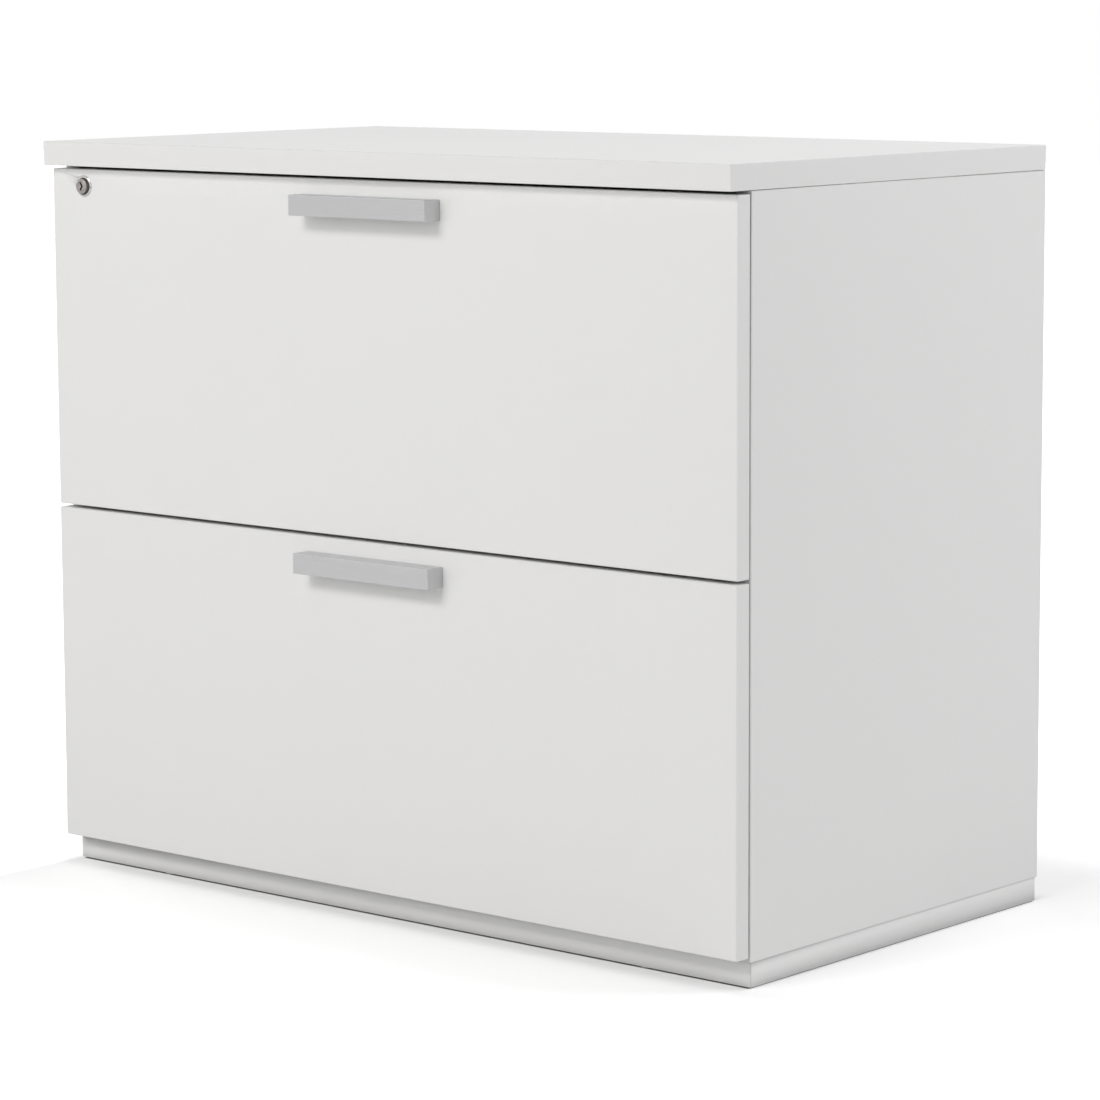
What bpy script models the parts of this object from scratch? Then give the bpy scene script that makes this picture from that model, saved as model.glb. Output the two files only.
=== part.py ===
"""Two-drawer lateral filing cabinet in laminate board, on a low plinth.

Metres, +Z up, +X to the right seen from the front, fronts facing -Y.
The origin is on the floor, under the centre of the whole cabinet with its handles.
"""

import math

import bmesh
import bpy
from mathutils import Vector

# Carcass
CABINET_WIDTH = 0.914
CABINET_DEPTH = 0.511
CABINET_HEIGHT = 0.772
TOP_THICKNESS = 0.025
TOP_OVERHANG = 0.0125
SIDE_THICKNESS = 0.018
FLOOR_THICKNESS = 0.018
BACK_THICKNESS = 0.006
BACK_INSET = 0.008
BACK_GROOVE_DEPTH = 0.008
RAIL_THICKNESS = 0.018
RAIL_DEPTH = 0.080

# Plinth and glides
PLINTH_HEIGHT = 0.024
PLINTH_THICKNESS = 0.018
PLINTH_FRONT_SETBACK = 0.0215
PLINTH_SIDE_INSET = 0.001
PLINTH_BACK_INSET = 0.0027
GLIDE_RADIUS = 0.008
GLIDE_HEIGHT = 0.0015
GLIDE_INSET = 0.132

# Drawer fronts and the lines of shadow round them
FRONT_THICKNESS = 0.018
FRONT_SIDE_INSET = 0.001
FRONT_STAND_OFF = 0.001
TOP_REVEAL = 0.0035
MIDDLE_REVEAL = 0.0035
BOTTOM_REVEAL = 0.0045

# Drawer boxes
BOX_DEPTH = 0.455
BOX_HEIGHT = 0.270
BOX_RISE = 0.0165
BOX_BOARD = 0.012
BOX_FLOOR = 0.006
BOX_FLOOR_RISE = 0.010
BOX_GROOVE_DEPTH = 0.005

# Hanging file rails, spaced for legal folders
FILE_RAIL_THICKNESS = 0.003
FILE_RAIL_HEIGHT = 0.016
FILE_RAIL_RISE = 0.004
FILE_RAIL_MARGIN = 0.012
FILE_SPACING = 0.387

# Bar handles
HANDLE_LENGTH = 0.182
HANDLE_HEIGHT = 0.0205
HANDLE_PROJECTION = 0.023
HANDLE_BAR = 0.008
HANDLE_LEG = 0.012
HANDLE_CORNER = 0.0012
HANDLE_DROP = 0.026

# Three-part ball slides: member fixed to the cabinet, middle member, drawer member
SLIDE_HEIGHT = 0.045
SLIDE_THICKNESS = 0.0127
SLIDE_LENGTH = 0.450
SLIDE_TRAVEL = 0.440
SLIDE_SETBACK = 0.002
SLIDE_RISE = 0.095
OUTER_STEEL = 0.0012
INNER_STEEL = 0.0010
BALL_RADIUS = 0.002
RACE_CLEARANCE = 0.0003
CAGE_STEEL = 0.0008
LIP_CLEARANCE = 0.0004
CAGE_LENGTH = 0.200
BALL_PITCH = 0.058
BALLS_IN_ROW = 4
SCREW_HOLE_RADIUS = 0.0022
SCREW_HOLE_PITCH = 0.160
ACCESS_HOLE_RADIUS = 0.0045

# Lock in the upper front and the bar that it lifts
LOCK_INSET = 0.047
LOCK_DROP = 0.0177
BEZEL_RADIUS = 0.0112
BEZEL_HEIGHT = 0.0014
NOSE_FOOT_RADIUS = 0.0088
NOSE_RADIUS = 0.0074
NOSE_HEIGHT = 0.0048
BARREL_RADIUS = 0.008
BARREL_TAIL = 0.010
NUT_WIDTH = 0.022
NUT_THICKNESS = 0.004
PLUG_RADIUS = 0.0048
KEYWAY_HEIGHT = 0.0076
KEYWAY_WIDTH = 0.0014
KEYWAY_BEND = 0.0023
KEYWAY_DEPTH = 0.009
CRANK_THROW = 0.009
CRANK_THICKNESS = 0.0025
CRANK_PIN_RADIUS = 0.002
KEY_TURN = math.radians(90)
LOCK_BAR_WIDTH = 0.016
LOCK_BAR_THICKNESS = 0.005
LOCK_BAR_SETBACK = 0.0095
LOCK_HEAD_THICKNESS = 0.003
LOCK_HEAD_WALL = 0.006
LOCK_SLOT_PLAY = 0.0006
LOCK_PIN_RADIUS = 0.003
LOCK_PIN_LENGTH = 0.0115
GUIDE_THICKNESS = 0.0015
GUIDE_HEIGHT = 0.020
GUIDE_WING = 0.010
GUIDE_ABOVE_CATCH = 0.045
CATCH_RISE = 0.190
CATCH_WIDTH = 0.024
CATCH_HEIGHT = 0.022
CATCH_DEPTH = 0.0105
CATCH_PLAY = 0.0012
CATCH_CLEARANCE = 0.0015

# Gap between pieces that touch, and softened edges
SEAT = 0.0003
BOARD_EDGE = 0.0008
METAL_EDGE = 0.0005

# Heights and depths that follow from the sizes above
depth_over_handles = CABINET_DEPTH + max(0.0, HANDLE_PROJECTION - TOP_OVERHANG)
back_y = depth_over_handles / 2
top_front_y = back_y - CABINET_DEPTH
face_y = top_front_y + TOP_OVERHANG
front_back_y = face_y + FRONT_THICKNESS
side_front_y = front_back_y + FRONT_STAND_OFF
half_width = CABINET_WIDTH / 2
inner_half = half_width - SIDE_THICKNESS
top_z = CABINET_HEIGHT - TOP_THICKNESS
carcass_z = GLIDE_HEIGHT + PLINTH_HEIGHT
floor_top_z = carcass_z + FLOOR_THICKNESS
back_panel_y = back_y - BACK_INSET - BACK_THICKNESS
reveals = TOP_REVEAL + MIDDLE_REVEAL + BOTTOM_REVEAL
front_height = (top_z - carcass_z - reveals) / 2
lower_front_z = carcass_z + BOTTOM_REVEAL
upper_front_z = lower_front_z + front_height + MIDDLE_REVEAL

# The box of a drawer hangs between its two slides
box_half = inner_half - SLIDE_THICKNESS - 2 * SEAT
box_inner = box_half - BOX_BOARD
box_front_y = front_back_y + SEAT
box_back_y = box_front_y + BOX_DEPTH
front_rail_y = box_front_y + BOX_BOARD + FILE_RAIL_MARGIN
rear_rail_y = front_rail_y + FILE_SPACING
slide_front_y = side_front_y + SLIDE_SETBACK

# The lock's axis, and the bar behind it in its groove
lock_x = -half_width + FRONT_SIDE_INSET + LOCK_INSET
lock_z = upper_front_z + front_height - LOCK_DROP
groove_depth = LOCK_BAR_THICKNESS + 2 * SEAT + METAL_EDGE
bar_front_y = side_front_y + LOCK_BAR_SETBACK
bar_mid_y = bar_front_y + LOCK_BAR_WIDTH / 2
bar_left_x = -inner_half - groove_depth + SEAT
bar_right_x = bar_left_x + LOCK_BAR_THICKNESS
rest_angle = -KEY_TURN / 2
pin_rest_x = lock_x - CRANK_THROW * math.cos(rest_angle)
pin_rest_z = lock_z + CRANK_THROW * math.sin(rest_angle)
bar_lift = 2 * CRANK_THROW * math.sin(KEY_TURN / 2)


def clear_scene():
    for old in list(bpy.data.objects):
        bpy.data.objects.remove(old, do_unlink=True)


def make_material(name, color, roughness, metallic=0.0):
    material = bpy.data.materials.new(name)
    material.use_nodes = True
    shader = material.node_tree.nodes["Principled BSDF"]
    shader.inputs["Base Color"].default_value = (*color, 1.0)
    shader.inputs["Roughness"].default_value = roughness
    shader.inputs["Metallic"].default_value = metallic
    return material


def make_carrier(name, place):
    """The empty that carries one moving assembly along its joint."""
    empty = bpy.data.objects.new(name, None)
    empty.location = place
    bpy.context.scene.collection.objects.link(empty)
    return empty


def finish_object(name, bm, centre, material, carrier=None, smooth=False):
    """Puts a bmesh in world coordinates into an object whose origin is at centre."""
    bmesh.ops.recalc_face_normals(bm, faces=bm.faces)
    bmesh.ops.translate(bm, verts=bm.verts, vec=-Vector(centre))
    mesh = bpy.data.meshes.new(name)
    bm.to_mesh(mesh)
    bm.free()
    if smooth:
        mesh.shade_smooth()
        mesh.set_sharp_from_angle(angle=math.radians(35))
    obj = bpy.data.objects.new(name, mesh)
    bpy.context.scene.collection.objects.link(obj)
    obj.location = centre
    if carrier is not None:
        obj.parent = carrier
        obj.location = Vector(centre) - carrier.location
    if material is not None:
        mesh.materials.append(material)
    return obj


def box_bmesh(low, high):
    bm = bmesh.new()
    bmesh.ops.create_cube(bm, size=1.0)
    size = Vector(high) - Vector(low)
    bmesh.ops.scale(bm, vec=size, verts=bm.verts)
    bmesh.ops.translate(bm, vec=(Vector(low) + Vector(high)) / 2, verts=bm.verts)
    return bm


def soften(bm, width, segments=2, chosen=None):
    """Rounds the sharp edges of a bmesh, or only those that chosen accepts."""
    edges = []
    for edge in bm.edges:
        if len(edge.link_faces) != 2 or edge.calc_face_angle(0.0) < math.radians(30):
            continue
        if chosen is None or chosen(edge.verts[0].co, edge.verts[1].co):
            edges.append(edge)
    bmesh.ops.bevel(
        bm, geom=edges, offset=width, offset_type="OFFSET", segments=segments,
        profile=0.5, affect="EDGES", clamp_overlap=True,
    )


def add_board(name, low, high, material, carrier=None, edge=0.0, segments=2):
    bm = box_bmesh(low, high)
    if edge > 0.0:
        soften(bm, edge, segments)
    centre = (Vector(low) + Vector(high)) / 2
    return finish_object(name, bm, centre, material, carrier)


def prism_bmesh(outline, axis, start, end):
    """An outline pushed along an axis: (y, z) along x, (x, z) along y, (x, y) along z."""
    bm = bmesh.new()
    corners = []
    for first, second in outline:
        if axis == "x":
            corners.append(bm.verts.new((start, first, second)))
        elif axis == "y":
            corners.append(bm.verts.new((first, start, second)))
        else:
            corners.append(bm.verts.new((first, second, start)))
    face = bm.faces.new(corners)
    pushed = bmesh.ops.extrude_face_region(bm, geom=[face])
    moved = [item for item in pushed["geom"] if isinstance(item, bmesh.types.BMVert)]
    step = Vector((0.0, 0.0, 0.0))
    step["xyz".index(axis)] = end - start
    bmesh.ops.translate(bm, verts=moved, vec=step)
    bmesh.ops.recalc_face_normals(bm, faces=bm.faces)
    return bm


def turned_bmesh(profile, centre, steps):
    """Spins (radius, y) points about the line along Y through centre."""
    bm = bmesh.new()
    cx, cz = centre
    ring = [bm.verts.new((cx + radius, y, cz)) for radius, y in profile]
    edges = [bm.edges.new(pair) for pair in zip(ring, ring[1:])]
    if profile[0][0] > 0.0:
        edges.append(bm.edges.new((ring[-1], ring[0])))
    bmesh.ops.spin(
        bm, geom=ring + edges, cent=(cx, 0.0, cz), axis=(0.0, 1.0, 0.0),
        angle=2 * math.pi, steps=steps,
    )
    bmesh.ops.remove_doubles(bm, verts=bm.verts, dist=1e-6)
    bmesh.ops.recalc_face_normals(bm, faces=bm.faces)
    return bm


def arc(centre, radius, start, end, steps):
    """Points on an arc, angles in degrees."""
    points = []
    for step in range(steps + 1):
        angle = math.radians(start + (end - start) * step / steps)
        points.append((centre[0] + radius * math.cos(angle), centre[1] + radius * math.sin(angle)))
    return points


def offset_path(path, distance):
    """The path moved sideways by a distance, with mitred corners."""
    moved = []
    for index, point in enumerate(path):
        before = path[max(index - 1, 0)]
        after = path[min(index + 1, len(path) - 1)]
        first = Vector(point) - Vector(before)
        second = Vector(after) - Vector(point)
        if first.length < 1e-9:
            first = second
        if second.length < 1e-9:
            second = first
        normal_one = Vector((-first.y, first.x)).normalized()
        normal_two = Vector((-second.y, second.x)).normalized()
        mitre = (normal_one + normal_two).normalized()
        reach = distance / max(mitre.dot(normal_one), 0.5)
        moved.append((point[0] + mitre.x * reach, point[1] + mitre.y * reach))
    return moved


def strip_outline(path, thickness):
    """The closed section of bent sheet whose middle follows the path."""
    return offset_path(path, thickness / 2) + offset_path(path, -thickness / 2)[::-1]


def modify(obj, tool, operation):
    """Cuts a helper from an object, or joins it on. The helper stays out of the render."""
    tool.hide_render = True
    tool.display_type = "WIRE"
    step = obj.modifiers.new(tool.name, "BOOLEAN")
    step.operation = operation
    step.solver = "EXACT"
    step.object = tool


def helper_prism(name, outline, axis, start, end, carrier=None):
    bm = prism_bmesh(outline, axis, start, end)
    return finish_object(name, bm, (0.0, 0.0, 0.0), None, carrier)


def disc_outline(centre, radius, steps):
    return arc(centre, radius, 0, 360 * (steps - 1) / steps, steps - 1)


clear_scene()

white_board = make_material("white laminate", (0.76, 0.76, 0.75), 0.42)
grey_board = make_material("grey carcass laminate", (0.60, 0.60, 0.60), 0.45)
box_board = make_material("drawer box laminate", (0.68, 0.68, 0.67), 0.5)
back_board = make_material("back board", (0.66, 0.66, 0.65), 0.6)
satin_metal = make_material("satin handle metal", (0.53, 0.53, 0.54), 0.34, 0.9)
zinc_steel = make_material("zinc plated steel", (0.55, 0.56, 0.57), 0.35, 0.9)
ball_steel = make_material("ball cage steel", (0.62, 0.62, 0.62), 0.25, 0.9)
black_steel = make_material("black file rail steel", (0.03, 0.03, 0.03), 0.45, 0.6)
chrome = make_material("chrome lock", (0.72, 0.72, 0.73), 0.14, 1.0)
nickel = make_material("nickel lock plug", (0.55, 0.54, 0.52), 0.32, 1.0)
pale_nylon = make_material("natural nylon", (0.57, 0.56, 0.52), 0.5)


def own_finish(finish):
    """A copy of a finish, for one piece of its own."""
    return finish.copy()


# Top panel, flush with the sides and the back
add_board(
    "top_panel",
    (-half_width, top_front_y, top_z),
    (half_width, back_y, CABINET_HEIGHT),
    own_finish(white_board),
    edge=BOARD_EDGE,
)

# Side panels with the groove for the back, and on the left the groove for the lock bar
back_groove_x = inner_half + BACK_GROOVE_DEPTH
for side_name, sign in (("left", -1), ("right", 1)):
    outline = [
        (sign * inner_half, side_front_y),
        (sign * half_width, side_front_y),
        (sign * half_width, back_y),
        (sign * inner_half, back_y),
        (sign * inner_half, back_panel_y + BACK_THICKNESS + SEAT),
        (sign * back_groove_x, back_panel_y + BACK_THICKNESS + SEAT),
        (sign * back_groove_x, back_panel_y - SEAT),
        (sign * inner_half, back_panel_y - SEAT),
    ]
    if side_name == "left":
        outline += [
            (-inner_half, bar_front_y + LOCK_BAR_WIDTH + SEAT),
            (-inner_half - groove_depth, bar_front_y + LOCK_BAR_WIDTH + SEAT),
            (-inner_half - groove_depth, bar_front_y - SEAT),
            (-inner_half, bar_front_y - SEAT),
        ]
    bm = prism_bmesh(outline, "z", carcass_z, top_z - SEAT)
    soften(
        bm, BOARD_EDGE, 2,
        lambda a, b: abs(abs(a.x) - half_width) < 1e-6 and abs(abs(b.x) - half_width) < 1e-6,
    )
    middle = (sign * (half_width - SIDE_THICKNESS / 2), (side_front_y + back_y) / 2, top_z / 2)
    finish_object(side_name + "_side_panel", bm, middle, own_finish(white_board))

# Floor, back and rear rail of the carcass
add_board(
    "floor_panel",
    (-inner_half + SEAT, side_front_y, carcass_z),
    (inner_half - SEAT, back_panel_y - SEAT, floor_top_z),
    own_finish(grey_board),
)
add_board(
    "back_panel",
    (-back_groove_x + SEAT, back_panel_y, carcass_z),
    (back_groove_x - SEAT, back_panel_y + BACK_THICKNESS, top_z - SEAT),
    own_finish(back_board),
)
add_board(
    "rear_top_rail",
    (-inner_half + SEAT, back_panel_y - SEAT - RAIL_DEPTH, top_z - SEAT - RAIL_THICKNESS),
    (inner_half - SEAT, back_panel_y - SEAT, top_z - SEAT),
    own_finish(grey_board),
)

# Plinth: four boards mitred at the corners, with the outer faces running on round them
plinth_x = half_width - PLINTH_SIDE_INSET
plinth_front_y = face_y + PLINTH_FRONT_SETBACK
plinth_back_y = back_y - PLINTH_BACK_INSET
plinth_top_z = carcass_z - SEAT
glide_x = half_width - GLIDE_INSET
mitre_gap = SEAT / math.sqrt(2)
plinth_boards = (
    ("left", (-plinth_x, plinth_back_y), (-plinth_x, plinth_front_y)),
    ("front", (-plinth_x, plinth_front_y), (plinth_x, plinth_front_y)),
    ("right", (plinth_x, plinth_front_y), (plinth_x, plinth_back_y)),
    ("rear", (plinth_x, plinth_back_y), (-plinth_x, plinth_back_y)),
)
for board_name, start, end in plinth_boards:
    along = (Vector(end) - Vector(start)).normalized()
    inward = Vector((-along.y, along.x)) * PLINTH_THICKNESS
    outer_start = Vector(start) + along * mitre_gap
    outer_end = Vector(end) - along * mitre_gap
    cut_back = along * PLINTH_THICKNESS
    outline = [outer_start, outer_end, outer_end - cut_back + inward, outer_start + cut_back + inward]
    bm = prism_bmesh(outline, "z", GLIDE_HEIGHT, plinth_top_z)
    middle = (outer_start + outer_end + inward) / 2
    finish_object(
        "plinth_" + board_name, bm, (middle.x, middle.y, GLIDE_HEIGHT + PLINTH_HEIGHT / 2),
        own_finish(white_board),
    )

# Glides pressed under the front and rear plinth boards
glide_top = GLIDE_HEIGHT - SEAT
glide_rows = (
    ("front", plinth_front_y + PLINTH_THICKNESS / 2),
    ("rear", plinth_back_y - PLINTH_THICKNESS / 2),
)
for row_name, glide_y in glide_rows:
    for side_name, sign in (("left", -1), ("right", 1)):
        outline = disc_outline((sign * glide_x, glide_y), GLIDE_RADIUS, 20)
        bm = prism_bmesh(outline, "z", 0.0, glide_top)
        soften(bm, glide_top * 0.4, 1, lambda a, b: a.z < 1e-6 and b.z < 1e-6)
        finish_object(
            "glide_" + row_name + "_" + side_name, bm,
            (sign * glide_x, glide_y, 0.0), own_finish(pale_nylon), smooth=True,
        )


# Sections of the slide, in (x from the cabinet side, z from the slide's middle)
race = BALL_RADIUS + RACE_CLEARANCE
outer_ball = (OUTER_STEEL + race, SLIDE_HEIGHT / 2 - OUTER_STEEL - race)
inner_ball = (
    SLIDE_THICKNESS - INNER_STEEL - LIP_CLEARANCE - INNER_STEEL - race,
    outer_ball[1] - 2 * race - INNER_STEEL,
)
middle_web_x = OUTER_STEEL + 2 * RACE_CLEARANCE + CAGE_STEEL + INNER_STEEL / 2


def both_ways(upper):
    """A section drawn for its upper half, closed with the mirror of it below."""
    return [(x, -z) for x, z in reversed(upper)] + upper


def cabinet_member_path():
    return both_ways(arc(outer_ball, race + OUTER_STEEL / 2, 180, 0, 6))


def middle_member_path():
    radius = race + INNER_STEEL / 2
    foot = 360 - math.degrees(math.acos((middle_web_x - outer_ball[0]) / radius))
    under_ball = arc(outer_ball, radius, foot, 325, 3)
    lip = under_ball[-1]
    crest = (lip[0] + 0.45 * INNER_STEEL, lip[1] + 0.22 * INNER_STEEL)
    over_ball = arc(inner_ball, radius, 90, 0, 4)
    return both_ways(under_ball + [crest] + over_ball)


def drawer_member_path():
    radius = race + INNER_STEEL / 2
    under_ball = arc(inner_ball, radius, 215, 325, 4)
    shoulder_z = under_ball[-1][1]
    web_x = SLIDE_THICKNESS - INNER_STEEL / 2
    bend = INNER_STEEL
    return both_ways([(web_x, shoulder_z - bend), (web_x - bend, shoulder_z)] + under_ball[::-1])


def outer_cage_outline():
    near_x = OUTER_STEEL + RACE_CLEARANCE
    far_x = near_x + CAGE_STEEL
    top = outer_ball[1]
    return [(near_x, -top), (far_x, -top), (far_x, top), (near_x, top)]


def inner_cage_outline():
    near_x = middle_web_x + INNER_STEEL / 2 + RACE_CLEARANCE
    path = [(inner_ball[0] - 0.7 * BALL_RADIUS, inner_ball[1])]
    path.append((near_x + CAGE_STEEL / 2, inner_ball[1]))
    return strip_outline(both_ways(path[::-1]), CAGE_STEEL)


def place_section(outline, sign, slide_z):
    """Moves a section to its side of the cabinet and its height."""
    return [(sign * (inner_half - SEAT - x), slide_z + z) for x, z in outline]


def cut_hole_row(obj, name, radius, sign, slide_z, near_x, far_x, carrier):
    """A row of three holes through a member's web."""
    middle_y = slide_front_y + SLIDE_LENGTH / 2
    drills = bmesh.new()
    for number in (-1, 0, 1):
        ring = disc_outline((middle_y + number * SCREW_HOLE_PITCH, slide_z), radius, 10)
        ends = sorted((sign * (inner_half - SEAT - near_x), sign * (inner_half - SEAT - far_x)))
        drill = prism_bmesh(ring, "x", ends[0], ends[1])
        copy_mesh = bpy.data.meshes.new(name)
        drill.to_mesh(copy_mesh)
        drill.free()
        drills.from_mesh(copy_mesh)
    tool = finish_object(name, drills, (0.0, 0.0, 0.0), None, carrier)
    modify(obj, tool, "DIFFERENCE")


def add_member(name, outline, sign, slide_z, near_y, far_y, material, carrier=None):
    bm = prism_bmesh(place_section(outline, sign, slide_z), "y", near_y, far_y)
    centre = (sign * (inner_half - SLIDE_THICKNESS / 2), (near_y + far_y) / 2, slide_z)
    return finish_object(name, bm, centre, own_finish(material), carrier, smooth=True)


def add_cage(name, outline, ball, sign, slide_z, carrier):
    """A strip of bent sheet that holds two rows of balls."""
    middle_y = slide_front_y + SLIDE_LENGTH / 2
    near_y = middle_y - CAGE_LENGTH / 2
    far_y = middle_y + CAGE_LENGTH / 2
    cage = add_member(name, outline, sign, slide_z, near_y, far_y, ball_steel, carrier)
    balls = bmesh.new()
    for row in (-1, 1):
        for number in range(BALLS_IN_ROW):
            along = (number - (BALLS_IN_ROW - 1) / 2) * BALL_PITCH
            made = bmesh.ops.create_icosphere(balls, subdivisions=2, radius=BALL_RADIUS)
            x = sign * (inner_half - SEAT - ball[0])
            spot = Vector((x, middle_y + along, slide_z + row * ball[1]))
            bmesh.ops.translate(balls, verts=made["verts"], vec=spot)
    tool = finish_object(name + "_balls", balls, (0.0, 0.0, 0.0), None, carrier, smooth=True)
    modify(cage, tool, "UNION")


def add_slides(drawer, slide_z, drawer_carrier):
    """Both slides of one drawer. The middle members and the cages have carriers of their own."""
    middle = make_carrier(drawer + "_middle_carrier", (0.0, slide_front_y, slide_z))
    outer_cages = make_carrier(drawer + "_outer_cage_carrier", (0.0, slide_front_y, slide_z))
    inner_cages = make_carrier(drawer + "_inner_cage_carrier", (0.0, slide_front_y, slide_z))
    slide_back_y = slide_front_y + SLIDE_LENGTH
    cabinet_section = strip_outline(cabinet_member_path(), OUTER_STEEL)
    middle_section = strip_outline(middle_member_path(), INNER_STEEL)
    drawer_section = strip_outline(drawer_member_path(), INNER_STEEL)
    for side_name, sign in (("left", -1), ("right", 1)):
        label = drawer + "_slide_" + side_name
        fixed = add_member(
            label + "_cabinet_member", cabinet_section, sign, slide_z,
            slide_front_y, slide_back_y, zinc_steel,
        )
        cut_hole_row(
            fixed, label + "_cabinet_drills", SCREW_HOLE_RADIUS, sign, slide_z,
            -OUTER_STEEL, 2 * OUTER_STEEL, None,
        )
        floating = add_member(
            label + "_middle_member", middle_section, sign, slide_z,
            slide_front_y, slide_back_y, zinc_steel, middle,
        )
        cut_hole_row(
            floating, label + "_middle_drills", ACCESS_HOLE_RADIUS, sign, slide_z,
            middle_web_x - INNER_STEEL, middle_web_x + INNER_STEEL, middle,
        )
        runner = add_member(
            label + "_drawer_member", drawer_section, sign, slide_z,
            slide_front_y, slide_back_y, zinc_steel, drawer_carrier,
        )
        cut_hole_row(
            runner, label + "_drawer_drills", SCREW_HOLE_RADIUS, sign, slide_z,
            SLIDE_THICKNESS - 2 * INNER_STEEL, SLIDE_THICKNESS + INNER_STEEL, drawer_carrier,
        )
        add_cage(label + "_outer_cage", outer_cage_outline(), outer_ball, sign, slide_z, outer_cages)
        add_cage(label + "_inner_cage", inner_cage_outline(), inner_ball, sign, slide_z, inner_cages)


def handle_outline(near_y):
    """Plan of the handle, from one foot round the bar to the other foot."""
    half = HANDLE_LENGTH / 2
    far_y = near_y - HANDLE_PROJECTION + SEAT
    inside_y = far_y + HANDLE_BAR
    corner = HANDLE_CORNER
    inner_x = half - HANDLE_LEG
    left_turn = arc((-half + corner, far_y + corner), corner, 180, 270, 4)
    right_turn = arc((half - corner, far_y + corner), corner, 270, 360, 4)
    right_inside = arc((inner_x - corner, inside_y + corner), corner, 0, -90, 2)
    left_inside = arc((-inner_x + corner, inside_y + corner), corner, 270, 180, 2)
    outline = [(-half, near_y)] + left_turn + right_turn
    outline += [(half, near_y), (inner_x, near_y)]
    return outline + right_inside + left_inside + [(-inner_x, near_y)]


def add_handle(name, centre_z, carrier):
    low_z = centre_z - HANDLE_HEIGHT / 2
    high_z = centre_z + HANDLE_HEIGHT / 2
    bm = prism_bmesh(handle_outline(face_y - SEAT), "z", low_z, high_z)
    soften(bm, METAL_EDGE, 1, lambda a, b: abs(a.z - b.z) < 1e-7)
    centre = (0.0, face_y, centre_z)
    finish_object(name, bm, centre, own_finish(satin_metal), carrier, smooth=True)


def add_box_sides(drawer, low_z, carrier):
    """Left and right boards, grooved for the drawer's floor and slotted for the file rails."""
    groove_low = low_z + BOX_FLOOR_RISE - SEAT
    groove_high = low_z + BOX_FLOOR_RISE + BOX_FLOOR + SEAT
    slot_floor = low_z + BOX_HEIGHT + FILE_RAIL_RISE - FILE_RAIL_HEIGHT - SEAT
    for side_name, sign in (("left", -1), ("right", 1)):
        outline = [
            (sign * box_inner, low_z),
            (sign * box_half, low_z),
            (sign * box_half, low_z + BOX_HEIGHT),
            (sign * box_inner, low_z + BOX_HEIGHT),
            (sign * box_inner, groove_high),
            (sign * (box_inner + BOX_GROOVE_DEPTH), groove_high),
            (sign * (box_inner + BOX_GROOVE_DEPTH), groove_low),
            (sign * box_inner, groove_low),
        ]
        name = drawer + "_box_" + side_name
        bm = prism_bmesh(outline, "y", box_front_y, box_back_y)
        centre = (sign * (box_half + box_inner) / 2, box_front_y, low_z)
        board = finish_object(name, bm, centre, own_finish(box_board), carrier)
        for rail_name, rail_y in (("front", front_rail_y), ("rear", rear_rail_y)):
            half_slot = FILE_RAIL_THICKNESS / 2 + SEAT
            slot = [
                (rail_y - half_slot, slot_floor),
                (rail_y + half_slot, slot_floor),
                (rail_y + half_slot, low_z + BOX_HEIGHT + BOX_BOARD),
                (rail_y - half_slot, low_z + BOX_HEIGHT + BOX_BOARD),
            ]
            ends = sorted((sign * (box_inner - BOX_BOARD), sign * (box_half + BOX_BOARD)))
            tool = helper_prism(name + "_" + rail_name + "_slot", slot, "x", ends[0], ends[1], None)
            tool.parent = carrier
            tool.location = -carrier.location
            modify(board, tool, "DIFFERENCE")


def add_box_ends(drawer, low_z, carrier):
    """Inner front with the floor's groove, the back over the floor, and the floor."""
    groove_low = low_z + BOX_FLOOR_RISE - SEAT
    groove_high = low_z + BOX_FLOOR_RISE + BOX_FLOOR + SEAT
    inner_y = box_front_y + BOX_BOARD
    outline = [
        (box_front_y, low_z),
        (inner_y, low_z),
        (inner_y, groove_low),
        (inner_y - BOX_GROOVE_DEPTH, groove_low),
        (inner_y - BOX_GROOVE_DEPTH, groove_high),
        (inner_y, groove_high),
        (inner_y, low_z + BOX_HEIGHT),
        (box_front_y, low_z + BOX_HEIGHT),
    ]
    end_x = box_inner - SEAT
    bm = prism_bmesh(outline, "x", -end_x, end_x)
    centre = (0.0, (box_front_y + inner_y) / 2, low_z)
    finish_object(drawer + "_box_front", bm, centre, own_finish(box_board), carrier)
    add_board(
        drawer + "_box_back",
        (-end_x, box_back_y - BOX_BOARD, groove_high),
        (end_x, box_back_y, low_z + BOX_HEIGHT),
        own_finish(box_board),
        carrier,
    )
    floor_x = box_inner + BOX_GROOVE_DEPTH - SEAT
    add_board(
        drawer + "_box_floor",
        (-floor_x, inner_y - BOX_GROOVE_DEPTH + SEAT, low_z + BOX_FLOOR_RISE),
        (floor_x, box_back_y, low_z + BOX_FLOOR_RISE + BOX_FLOOR),
        own_finish(box_board),
        carrier,
    )


def add_file_rails(drawer, low_z, carrier):
    rail_top = low_z + BOX_HEIGHT + FILE_RAIL_RISE
    for rail_name, rail_y in (("front", front_rail_y), ("rear", rear_rail_y)):
        half = FILE_RAIL_THICKNESS / 2
        add_board(
            drawer + "_file_rail_" + rail_name,
            (-box_half + SEAT, rail_y - half, rail_top - FILE_RAIL_HEIGHT),
            (box_half - SEAT, rail_y + half, rail_top),
            own_finish(black_steel),
            carrier,
            edge=METAL_EDGE,
            segments=1,
        )


def catch_low_z(low_z):
    return low_z + CATCH_RISE


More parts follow.
